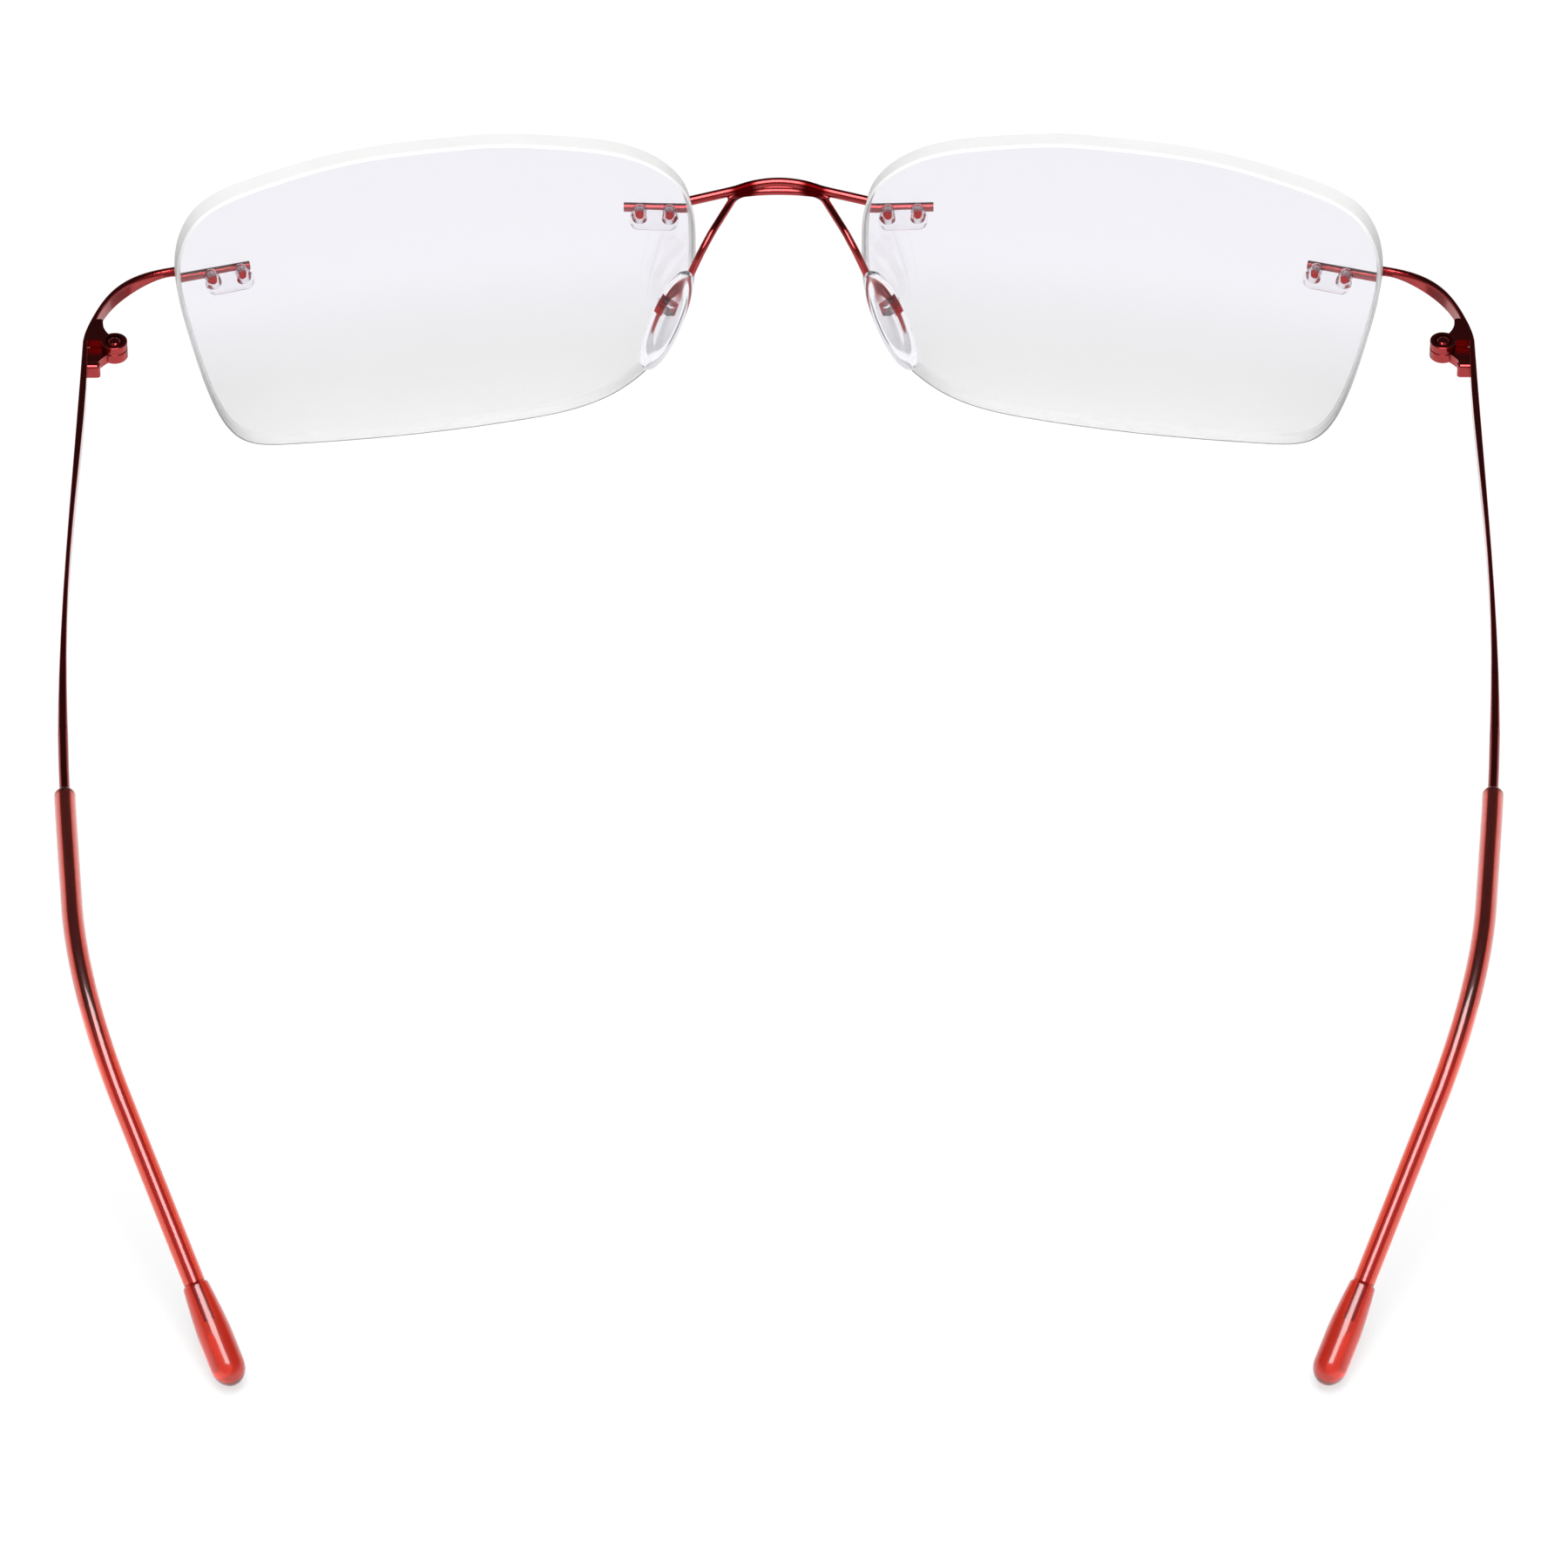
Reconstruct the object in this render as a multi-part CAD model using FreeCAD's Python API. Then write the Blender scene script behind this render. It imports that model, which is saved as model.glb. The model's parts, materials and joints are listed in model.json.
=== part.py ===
"""Rimless eyeglasses: drilled lenses, wire bridge, folding wire temples, rocking nose pads.

Millimetres. The glasses are drawn as they are worn, +X to the wearer's right, +Y forward, +Z up,
with the origin midway between the lenses at the height of their box centres. They are then tipped
a little nose down, so that both lenses and both temple ends stand on z = 0.
"""

import FreeCAD
import Part

import math
import os

V = FreeCAD.Vector

# ---- lenses
LENS_WIDTH = 53.0
BRIDGE_GAP = 17.0
FRONT_RADIUS = 132.0
BACK_RADIUS = 110.0
CENTRE_THICKNESS = 2.4
WRAP_ANGLE = 8.4
PANTOSCOPIC_ANGLE = 8.0
LENS_BEVEL = 0.25
# outline in the lens plane, outward and up from the box centre, clockwise from the top
LENS_OUTLINE = [
    (-3.5, 16.4), (9.0, 15.75), (18.0, 14.1), (24.5, 11.3), (26.5, 7.0), (25.7, -2.2),
    (23.6, -10.2), (20.6, -15.1), (15.5, -16.5), (4.5, -17.1), (-8.0, -16.3), (-17.0, -13.8),
    (-23.0, -8.0), (-25.6, -1.0), (-25.85, 4.5), (-25.0, 10.0), (-21.3, 13.7), (-13.0, 15.8),
]

# ---- lens mounts: a wire on the front face, two pins through the lens into a clear double plug
WIRE_DIAMETER = 1.0
WIRE_LIFT = 0.06
NASAL_HOLES = [(-23.7, 7.2), (-20.7, 7.2)]
TEMPORAL_HOLES = [(20.3, 3.6), (23.4, 3.6)]
NASAL_WIRE_END = -19.1
TEMPORAL_WIRE_END = 19.2
HOLE_DIAMETER = 1.5
PIN_DIAMETER = 0.8
# how far the pins stop short of the lens's back face
PIN_SHORT = 0.5
PLUG_FIT = 0.02
PLUG_BAR_LENGTH = 5.0
PLUG_BAR_WIDTH = 2.0
PLUG_BAR_THICKNESS = 0.9
PLUG_BAR_LIFT = 0.06
PLUG_BAR_ROUNDING = 0.3
PLUG_BORE_SPARE = 0.1

# ---- bridge
BRIDGE_BEND_X = 9.2
BRIDGE_SHOULDER = V(4.3, 3.3, 7.78)
BRIDGE_APEX = V(0.0, 4.54, 8.68)
BRIDGE_RADII = [4.0, 3.0, 11.0]

# ---- pad arms and nose pads
PAD_ARM_DIAMETER = 0.78
PAD_ARM_CREST = V(0.0, 3.4, 7.78)
PAD_ARM_CREST_RADIUS = 15.0
# from under the bridge back past the lens, then down behind the pad
PAD_ARM_ROUTE = [V(4.3, 3.72, 6.99), V(6.75, -1.5, 6.2), V(7.8, -3.1, 5.0), V(8.8, -3.7, 2.8)]
PAD_ARM_RADII = [1.5, 3.0, 3.0, 3.0]
# the hairpin's two lower corners, in the pad's own frame
HAIRPIN = [V(3.0, 1.15, 2.0), V(3.0, 0.0, 1.72)]
HAIRPIN_RADIUS = 0.55
# where its end is brazed to the box, measured from the rocking axis
ARM_END = V(0.5, 0.0, 0.62)
PAD_CENTRE = V(11.25, -7.5, -0.35)
PAD_DOWN = V(0.31, -0.08, -0.95)
PAD_SPLAY_ANGLE = 52.0
PAD_LENGTH = 12.6
PAD_WIDTH = 4.4
PAD_END_RADIUS = 1.5
PAD_THICKNESS = 1.8
PAD_ROUNDING = 0.75
PAD_PIVOT_RISE = 1.3
PAD_PIVOT_DEPTH = 0.8
POCKET_LENGTH = 2.3
POCKET_WIDTH = 2.6
CORE_LENGTH = 8.4
CORE_WIDTH = 3.0
CORE_END_RADIUS = 1.0
CORE_THICKNESS = 0.4
LUG_THICKNESS = 0.7
LUG_RADIUS = 0.5
LUG_CLEARANCE = 0.06
BOX_HEIGHT = 1.4
BOX_WIDTH = 1.4
BOX_LIP = 0.45
BOX_WALL = 0.25
BOX_BACK = LUG_RADIUS + LUG_CLEARANCE + BOX_WALL
BOX_ROUNDING = 0.2
PAD_SCREW_DIAMETER = 0.5
PAD_SCREW_HEAD_DIAMETER = 0.9
PAD_SCREW_HEAD_HEIGHT = 0.35
PAD_SCREW_HEAD_ROUNDING = 0.12
PAD_SCREW_OVERHANG = 0.1
PAD_SCREW_SLOT = 0.14
RUNNING_GAP = 0.04

# ---- endpieces and hinges
RIBBON_THICKNESS = 0.5
RIBBON_HEIGHT = 1.8
HINGE_LINE_X = 69.1
HINGE_Y = -17.3
HINGE_Z = 4.35
BARREL_OFFSET = 2.9
BARREL_DIAMETER = 2.6
UPPER_KNUCKLE = 0.88
LOWER_KNUCKLE = 1.1
KNUCKLE_GAP = 0.04
KNUCKLE_ROUNDING = 0.1
LEAF_REACH = 3.4
# how far inward the leaf's outer edge runs with the curving ribbon, front and back
LEAF_DRIFT = {1: 0.62, -1: 0.0}
LEAF_TIP_WIDTH = 0.8
LEAF_TIP_ROUNDING = 0.35
LEAF_SEAM = 0.04
LEAF_HOLLOW = 0.22
# the lower leaf's tongue under the upper one, and its clearance from the endpiece
TONGUE_REACH = 0.4
TONGUE_CLEARANCE = 0.15
FOOT_LENGTH = 1.0
FOOT_WIDTH = 1.35
FOOT_RISE = 0.35
FOOT_ROUNDING = 0.35
HINGE_SCREW_DIAMETER = 1.0
SCREW_SINK_DIAMETER = 1.8
SCREW_SINK_DEPTH = 0.45
SCREW_HEAD_DIAMETER = 1.45
SCREW_HEAD_HEIGHT = 0.5
SCREW_HEAD_ROUNDING = 0.4
SCREW_SLOT_WIDTH = 0.16
SCREW_SLOT_DEPTH = 0.14
SCREW_FLARE_DIAMETER = 1.5
SCREW_FLARE_DEPTH = 0.25
ROUND_RUN_PAST_LENS = 1.5
# corner radius of a ribbon's section, as a share of its thickness
RIBBON_CORNER = 0.3
WIRE_CORNER = 0.49
# the ribbon's way from the lens back to the hinge: point, heading, thickness, height
ENDPIECE_STATIONS = [
    (V(64.6, -7.3, HINGE_Z), V(0.80, -0.60, 0), 0.85, 1.35),
    (V(66.8, -9.9, HINGE_Z), V(0.50, -0.87, 0), 0.6, 1.7),
    (V(68.2, -13.2, HINGE_Z), V(0.26, -0.965, 0), RIBBON_THICKNESS, RIBBON_HEIGHT),
    (V(HINGE_LINE_X, HINGE_Y, HINGE_Z), V(0.12, -0.99, 0), RIBBON_THICKNESS, RIBBON_HEIGHT),
]

# ---- temples
TEMPLE_START_GAP = 0.06
TEMPLE_DRIFT = 0.098
TEMPLE_GENTLE_Y = -69.2
TEMPLE_GENTLE_RADIUS = 408.0
EAR_BEND_Y = -110.2
EAR_BEND_RADIUS = 29.6
EAR_DROP_ANGLE = 40.0
EAR_INWARD = 0.405
EAR_LENGTH = 39.7
TEMPLE_WIRE_DIAMETER = 1.0
RIBBON_LENGTH = 58.0
RIBBON_OVERLAP = 0.5
# lengths along the temple, with the ribbon's thickness and height there
TEMPLE_STATIONS = [(0.0, 0.5, 1.8), (25.0, 0.5, 1.8), (42.0, 0.55, 1.6), (50.0, 0.75, 1.25)]
SLEEVE_START = 66.0
SLEEVE_DIAMETER = 2.05
SLEEVE_GAP = 0.02
SLEEVE_MOUTH_ROUNDING = 0.3
BULB_LENGTH = 10.2
BULB_NECK_DIAMETER = 2.5
BULB_DIAMETER = 3.25
BULB_SHOULDER = 0.45
BULB_BAND = (5.6, 8.2)
CORE_IN_BULB = 3.8


def unit(v):
    return V(v).multiply(1.0 / v.Length)


def mirrored(shape):
    return shape.mirror(V(0, 0, 0), V(1, 0, 0))


def rounded_route(points, radii):
    """A wire of straight runs joined by tangent arcs, one radius for each inner point."""
    edges = []
    start = points[0]
    for before, corner, after, radius in zip(points, points[1:], points[2:], radii):
        back = unit(before - corner)
        ahead = unit(after - corner)
        half_turn = (math.pi - back.getAngle(ahead)) / 2
        reach = radius * math.tan(half_turn)
        enter = corner + back * reach
        leave = corner + ahead * reach
        middle = corner + unit(back + ahead) * (radius / math.cos(half_turn) - radius)
        if (enter - start).Length > 1e-6:
            edges.append(Part.LineSegment(start, enter).toShape())
        edges.append(Part.Arc(enter, middle, leave).toShape())
        start = leave
    if (points[-1] - start).Length > 1e-6:
        edges.append(Part.LineSegment(start, points[-1]).toShape())
    return Part.Wire(edges)


def round_sweep(route, diameter, bore=0.0):
    """A round bar along a route, or a tube if it has a bore."""
    first = route.Edges[0]
    origin = first.valueAt(first.FirstParameter)
    along = first.tangentAt(first.FirstParameter)

    def bar(width):
        profile = Part.Wire(Part.Circle(origin, along, width / 2).toShape())
        return route.makePipeShell([profile], True, False)

    solid = bar(diameter)
    if bore:
        solid = solid.cut(bar(bore))
    return solid


def rounded_section(centre, along, thickness, height, radius):
    """A rounded rectangle across a ribbon; its height stays upright."""
    forward = unit(along)
    side = unit(forward.cross(V(0, 0, 1)))
    up = unit(side.cross(forward))
    a = thickness / 2
    b = height / 2
    r = radius
    k = r * (1 - math.sqrt(0.5))

    def at(s, t):
        return centre + side * s + up * t

    corners = [(1, 1), (-1, 1), (-1, -1), (1, -1)]
    edges = []
    for i, (s, t) in enumerate(corners):
        if i % 2 == 0:
            enter = at(s * a, t * (b - r))
            leave = at(s * (a - r), t * b)
        else:
            enter = at(s * (a - r), t * b)
            leave = at(s * a, t * (b - r))
        edges.append(Part.Arc(enter, at(s * (a - k), t * (b - k)), leave).toShape())
        s_next, t_next = corners[(i + 1) % 4]
        if i % 2 == 0:
            following = at(s_next * (a - r), t_next * b)
        else:
            following = at(s_next * a, t_next * (b - r))
        edges.append(Part.LineSegment(leave, following).toShape())
    return Part.Wire(edges)


def frame_of(origin, x_axis, y_axis, z_axis):
    """The placement whose local axes are the three given ones."""
    m = FreeCAD.Matrix(
        x_axis.x, y_axis.x, z_axis.x, origin.x,
        x_axis.y, y_axis.y, z_axis.y, origin.y,
        x_axis.z, y_axis.z, z_axis.z, origin.z,
        0, 0, 0, 1,
    )
    return FreeCAD.Placement(m)


def local_box(x0, x1, y0, y1, z0, z1):
    return Part.makeBox(x1 - x0, y1 - y0, z1 - z0, V(x0, y0, z0))


# ---- lens geometry, in the lens's own frame: x outward, y forward, z up


def lens_placement():
    wrap = FreeCAD.Rotation(V(0, 0, 1), -WRAP_ANGLE)
    tilt = FreeCAD.Rotation(V(1, 0, 0), -PANTOSCOPIC_ANGLE)
    across = LENS_WIDTH / 2 * math.cos(math.radians(WRAP_ANGLE))
    return FreeCAD.Placement(V(BRIDGE_GAP / 2 + across, 0, 0), tilt.multiply(wrap))


def front_depth(u, v):
    return math.sqrt(FRONT_RADIUS**2 - u * u - v * v) - FRONT_RADIUS


def back_depth(u, v):
    return math.sqrt(BACK_RADIUS**2 - u * u - v * v) - BACK_RADIUS - CENTRE_THICKNESS


def on_wire(u, v):
    """A point of a wire's axis where it lies against the front face."""
    normal = unit(V(u, front_depth(u, v) + FRONT_RADIUS, v))
    return V(u, front_depth(u, v), v) + normal * (WIRE_DIAMETER / 2 + WIRE_LIFT)


def lens_outline(depth):
    curve = Part.BSplineCurve()
    curve.interpolate([V(u, depth, v) for u, v in LENS_OUTLINE], PeriodicFlag=True)
    return Part.Face(Part.Wire(curve.toShape()))


def hole_axis(hole):
    """Middle and direction of a mount hole, square to the wire that it serves."""
    u, v = hole
    return on_wire(u, v), unit(V(u, front_depth(u, v) + FRONT_RADIUS, 0))


def lens():
    blank = lens_outline(-8.0).extrude(V(0, 12.0, 0))
    ball = Part.makeSphere(FRONT_RADIUS, V(0, -FRONT_RADIUS, 0))
    hollow = Part.makeSphere(BACK_RADIUS, V(0, -BACK_RADIUS - CENTRE_THICKNESS, 0))
    solid = blank.common(ball).cut(hollow)
    rims = [e for e in solid.Edges if e.Length > 50]
    solid = solid.makeChamfer(LENS_BEVEL, rims)
    for hole in NASAL_HOLES + TEMPORAL_HOLES:
        centre, out = hole_axis(hole)
        drill = Part.makeCylinder(HOLE_DIAMETER / 2, 8.0, centre - out * 6.0, out)
        solid = solid.cut(drill)
    return solid


def pin_depth(hole):
    """From the wire's axis to the pin's end."""
    return front_depth(*hole) - back_depth(*hole) + WIRE_DIAMETER / 2 - PIN_SHORT


def mount_pins(holes):
    pins = []
    for hole in holes:
        centre, out = hole_axis(hole)
        depth = pin_depth(hole)
        pins.append(Part.makeCylinder(PIN_DIAMETER / 2, depth, centre - out * depth, out))
    return pins


def double_plug(holes):
    """Two clear tubes through the lens, joined by a bar behind it."""
    ends = [hole_axis(hole) for hole in holes]
    middle = (ends[0][0] + ends[1][0]) * 0.5
    lean = ends[0][1] + ends[1][1]
    v = middle.z
    u = middle.x - lean.x / lean.y * (middle.y - back_depth(middle.x, v))
    out = unit(V(u, back_depth(u, v) + BACK_RADIUS + CENTRE_THICKNESS, v))
    seat = V(u, back_depth(u, v), v) - out * PLUG_BAR_LIFT
    chord = ends[1][0] - ends[0][0]
    along = unit(chord - out * chord.dot(out))
    half = PLUG_BAR_LENGTH / 2
    wide = PLUG_BAR_WIDTH / 2
    solid = local_box(-half, half, -wide, wide, -PLUG_BAR_THICKNESS, 0)
    uprights = [e for e in solid.Edges if abs(e.tangentAt(e.FirstParameter).z) > 0.9]
    solid = solid.makeFillet(wide * 0.95, uprights)
    lower = [e for e in solid.Edges if e.CenterOfMass.z < -PLUG_BAR_THICKNESS + 0.01]
    solid = solid.makeFillet(PLUG_BAR_ROUNDING, lower)
    solid.Placement = frame_of(seat, along, out.cross(along), out)
    top = WIRE_DIAMETER / 2 + 2 * WIRE_LIFT
    for centre, axis in ends:
        foot = (centre - seat).dot(out) + PLUG_BAR_THICKNESS / 2
        tube = Part.makeCylinder(
            HOLE_DIAMETER / 2 - PLUG_FIT, foot - top, centre - axis * foot, axis
        )
        solid = solid.fuse(tube)
    for hole, (centre, axis) in zip(holes, ends):
        depth = pin_depth(hole) + PLUG_BORE_SPARE
        bore = Part.makeCylinder(PIN_DIAMETER / 2 + PLUG_FIT, depth, centre - axis * depth, axis)
        solid = solid.cut(bore)
    return solid.removeSplitter()


# ---- bridge and pad arms


def bridge_wire(place):
    tip = place.multVec(on_wire(NASAL_WIRE_END, NASAL_HOLES[0][1]))
    edge = place.multVec(on_wire(-LENS_WIDTH / 2, NASAL_HOLES[0][1]))
    bend = tip + (edge - tip) * ((tip.x - BRIDGE_BEND_X) / (tip.x - edge.x))
    right = [tip, bend, BRIDGE_SHOULDER]
    left = [V(-p.x, p.y, p.z) for p in reversed(right)]
    route = rounded_route(right + [BRIDGE_APEX] + left, BRIDGE_RADII + BRIDGE_RADII[-2::-1])
    solid = round_sweep(route, WIRE_DIAMETER)
    for pin in mount_pins(NASAL_HOLES):
        pin.Placement = place.multiply(pin.Placement)
        solid = solid.fuse([pin, mirrored(pin)])
    return solid.removeSplitter()


def pad_frame():
    """Axes at a pad's centre: x down its length, y across it to the front, z away from the nose."""
    down = unit(PAD_DOWN)
    splay = math.radians(PAD_SPLAY_ANGLE)
    flat = V(math.cos(splay), math.sin(splay), 0)
    away = unit(V(flat.x, flat.y, -(flat.x * down.x + flat.y * down.y) / down.z))
    return frame_of(PAD_CENTRE, down, away.cross(down), away)


def pivot_frame():
    """The pad's axes, moved to the screw that it rocks on."""
    pivot = V(-PAD_PIVOT_RISE, 0, PAD_PIVOT_DEPTH)
    return pad_frame().multiply(FreeCAD.Placement(pivot, FreeCAD.Rotation()))


def pad_arm_wire(bridge):
    """One wire: brazed under the bridge's crest, back past both lenses, up a hairpin to each box."""
    pad = pad_frame()
    right = PAD_ARM_ROUTE + [pad.multVec(p) for p in HAIRPIN] + [pivot_frame().multVec(ARM_END)]
    left = [V(-p.x, p.y, p.z) for p in reversed(right)]
    radii = PAD_ARM_RADII + [HAIRPIN_RADIUS] * 2
    all_radii = radii[::-1] + [PAD_ARM_CREST_RADIUS] + radii
    route = rounded_route(left + [PAD_ARM_CREST] + right, all_radii)
    return round_sweep(route, PAD_ARM_DIAMETER).cut(bridge)


def pad_box(arm):
    """The small box brazed on the arm's end; its channel faces the pad and takes the lug."""
    h = BOX_HEIGHT / 2
    w = BOX_WIDTH / 2
    solid = local_box(-h, h, -w, w, -BOX_LIP, BOX_BACK)
    outer = [e for e in solid.Edges if e.CenterOfMass.z > BOX_BACK - 0.01]
    solid = solid.makeFillet(BOX_ROUNDING, outer)
    side = LUG_THICKNESS / 2 + RUNNING_GAP
    channel = local_box(-h - 1, h + 1, -side, side, -BOX_LIP - 1, BOX_BACK - BOX_WALL)
    solid = solid.cut(channel)
    solid = solid.cut(Part.makeCylinder(PAD_SCREW_DIAMETER / 2, 4, V(0, -2, 0), V(0, 1, 0)))
    solid.Placement = pivot_frame()
    return solid.cut(arm)


def pad_screw():
    """A slotted screw through the box and the lug; its axis is the pad's rocking axis."""
    w = BOX_WIDTH / 2
    top = -w - PAD_SCREW_HEAD_HEIGHT
    length = 2 * w + PAD_SCREW_OVERHANG
    shank = Part.makeCylinder(PAD_SCREW_DIAMETER / 2, length, V(0, -w, 0), V(0, 1, 0))
    head = Part.makeCylinder(
        PAD_SCREW_HEAD_DIAMETER / 2, PAD_SCREW_HEAD_HEIGHT, V(0, top, 0), V(0, 1, 0)
    )
    rim = [e for e in head.Edges if e.Length > 1 and e.CenterOfMass.y < top + 0.01]
    head = head.makeFillet(PAD_SCREW_HEAD_ROUNDING, rim)
    cut = PAD_SCREW_SLOT / 2
    slot = local_box(-1, 1, top - 1, top + PAD_SCREW_HEAD_HEIGHT / 2, -cut, cut)
    solid = shank.fuse(head.cut(slot)).removeSplitter()
    solid.Placement = pivot_frame()
    return solid


def oval_plate(length, width, end_radius, z, thickness):
    """An oval of four tangent arcs, long along x, with some thickness above z."""
    a = length / 2
    b = width / 2
    reach = a - end_radius
    side_radius = (reach**2 + b**2 - end_radius**2) / (2 * (b - end_radius))
    drop = side_radius - b
    scale = end_radius / (side_radius - end_radius)
    joint_x = reach * (1 + scale)
    joint_y = drop * scale
    sides = []
    for sign in (1, -1):
        start = V(-sign * joint_x, sign * joint_y, z)
        finish = V(sign * joint_x, sign * joint_y, z)
        sides.append(Part.Arc(start, V(0, sign * b, z), finish).toShape())
        below = V(sign * joint_x, -sign * joint_y, z)
        sides.append(Part.Arc(finish, V(sign * a, 0, z), below).toShape())
    return Part.Face(Part.Wire(sides)).extrude(V(0, 0, thickness))


def core_plate():
    half = CORE_THICKNESS / 2
    return oval_plate(CORE_LENGTH, CORE_WIDTH, CORE_END_RADIUS, -half, CORE_THICKNESS)


def lug_block(top):
    half = LUG_THICKNESS / 2
    block = local_box(-LUG_RADIUS, LUG_RADIUS, -half, half, 0, top)
    block.translate(V(-PAD_PIVOT_RISE, 0, 0))
    return block


def pad_core():
    """The clear stiff insert: an oval plate inside the pad, with the lug that the box holds."""
    half = LUG_THICKNESS / 2
    eye = V(-PAD_PIVOT_RISE, 0, PAD_PIVOT_DEPTH)
    across = V(0, 1, 0)
    solid = core_plate().fuse(lug_block(PAD_PIVOT_DEPTH))
    solid = solid.fuse(Part.makeCylinder(LUG_RADIUS, 2 * half, eye - across * half, across))
    bore = PAD_SCREW_DIAMETER / 2 + RUNNING_GAP
    solid = solid.cut(Part.makeCylinder(bore, 4, eye - across * 2, across)).removeSplitter()
    solid.Placement = pad_frame()
    return solid


def nose_pad():
    """The soft clear pad: an oval cushion moulded round the insert, with a pocket for the box."""
    half = PAD_THICKNESS / 2
    solid = oval_plate(PAD_LENGTH, PAD_WIDTH, PAD_END_RADIUS, -half, PAD_THICKNESS)
    rims = [e for e in solid.Edges if abs(abs(e.CenterOfMass.z) - half) < 0.01]
    solid = solid.makeFillet(PAD_ROUNDING, rims)
    a = POCKET_LENGTH / 2
    b = POCKET_WIDTH / 2
    pocket = local_box(-a, a, -b, b, CORE_THICKNESS / 2, half + 1)
    pocket.translate(V(-PAD_PIVOT_RISE, 0, 0))
    solid = solid.cut([pocket, core_plate(), lug_block(half)])
    solid.Placement = pad_frame()
    return solid


# ---- endpieces and hinges


def endpiece(place):
    """Round wire on the lens, flattened to an upright ribbon where it turns back to the hinge."""
    v = TEMPORAL_HOLES[0][1]
    tip = place.multVec(on_wire(TEMPORAL_WIRE_END, v))
    edge = place.multVec(on_wire(LENS_WIDTH / 2, v))
    along = unit(edge - tip)
    d = WIRE_DIAMETER
    sections = [
        rounded_section(edge, along, d, d, WIRE_CORNER * d),
        rounded_section(edge + along * ROUND_RUN_PAST_LENS, along, d, d, WIRE_CORNER * d),
    ]
    for point, heading, thickness, height in ENDPIECE_STATIONS:
        corner = RIBBON_CORNER * thickness
        sections.append(rounded_section(point, heading, thickness, height, corner))
    solid = Part.makeLoft(sections, True, False)
    solid = solid.fuse(Part.makeCylinder(d / 2, (edge - tip).Length, tip, along))
    for pin in mount_pins(TEMPORAL_HOLES):
        pin.Placement = place.multiply(pin.Placement)
        solid = solid.fuse(pin)
    return solid.removeSplitter()


def leaf_plate(side, low, high):
    """One hinge leaf, side +1 forward or -1 back: a barrel and a hollow-flanked plate.

    Drawn about the hinge axis, with +x towards the ribbon that it is brazed to.
    """
    r = BARREL_DIAMETER / 2
    face = BARREL_OFFSET - RIBBON_THICKNESS / 2
    far = face - LEAF_DRIFT[side]
    end = side * LEAF_REACH
    near = side * LEAF_SEAM
    corner = V(far - LEAF_TIP_WIDTH, end, low)
    flank = V(0.5 * r, side * 0.85 * r, low)
    middle = corner * 0.45 + flank * 0.55
    hollow = middle + V(LEAF_HOLLOW, -side * LEAF_HOLLOW / 2, 0)
    outline = [V(0, 0, low), V(0, near, low), V(face, near, low), V(far, end, low), corner]
    edges = [Part.LineSegment(p, q).toShape() for p, q in zip(outline, outline[1:])]
    edges.append(Part.Arc(corner, hollow, flank).toShape())
    edges.append(Part.LineSegment(flank, outline[0]).toShape())
    plate = Part.Face(Part.Wire(edges)).extrude(V(0, 0, high - low))
    tip = [e for e in plate.Edges if math.dist(e.CenterOfMass[:2], corner[:2]) < 0.01]
    plate = plate.makeFillet(LEAF_TIP_ROUNDING, tip)
    barrel = Part.makeCylinder(r, high - low, V(0, 0, low))
    rims = [e for e in barrel.Edges if e.Length > r * math.pi]
    return plate.fuse(barrel.makeFillet(KNUCKLE_ROUNDING, rims)).removeSplitter()


def hinge_place():
    return V(HINGE_LINE_X - BARREL_OFFSET, HINGE_Y, HINGE_Z)


def front_leaf(ribbon):
    """The upper leaf, brazed to the endpiece's ribbon; the screw's head sinks into it."""
    solid = leaf_plate(1, KNUCKLE_GAP / 2, UPPER_KNUCKLE)
    solid = solid.cut(Part.makeCylinder(HINGE_SCREW_DIAMETER / 2, 9, V(0, 0, -4)))
    sink = UPPER_KNUCKLE - SCREW_SINK_DEPTH
    solid = solid.cut(Part.makeCylinder(SCREW_SINK_DIAMETER / 2, 2, V(0, 0, sink)))
    solid.translate(hinge_place())
    return solid.cut(ribbon)


def temple_leaf(ribbon):
    """The lower leaf, brazed to the temple's ribbon, with a raised foot at its far end."""
    solid = leaf_plate(-1, -LOWER_KNUCKLE, -KNUCKLE_GAP / 2)
    face = BARREL_OFFSET - RIBBON_THICKNESS / 2
    foot = local_box(
        face - FOOT_WIDTH, face, -LEAF_REACH, -LEAF_REACH + FOOT_LENGTH, -LOWER_KNUCKLE, FOOT_RISE
    )
    inner = [e for e in foot.Edges if e.CenterOfMass.x < face - 0.01]
    crown = [e for e in inner if e.CenterOfMass.z > -LOWER_KNUCKLE + 0.01]
    tongue = local_box(
        0, face - TONGUE_CLEARANCE, -TONGUE_REACH, TONGUE_REACH, -LOWER_KNUCKLE, -KNUCKLE_GAP / 2
    )
    solid = solid.fuse([foot.makeFillet(FOOT_ROUNDING, crown), tongue]).removeSplitter()
    bore = HINGE_SCREW_DIAMETER / 2 + RUNNING_GAP
    solid = solid.cut(Part.makeCylinder(bore, 9, V(0, 0, -4)))
    recess = SCREW_FLARE_DIAMETER / 2 + RUNNING_GAP
    depth = SCREW_FLARE_DEPTH + RUNNING_GAP
    solid = solid.cut(Part.makeCylinder(recess, depth, V(0, 0, -LOWER_KNUCKLE)))
    solid.translate(hinge_place())
    return solid.cut(ribbon)


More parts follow.
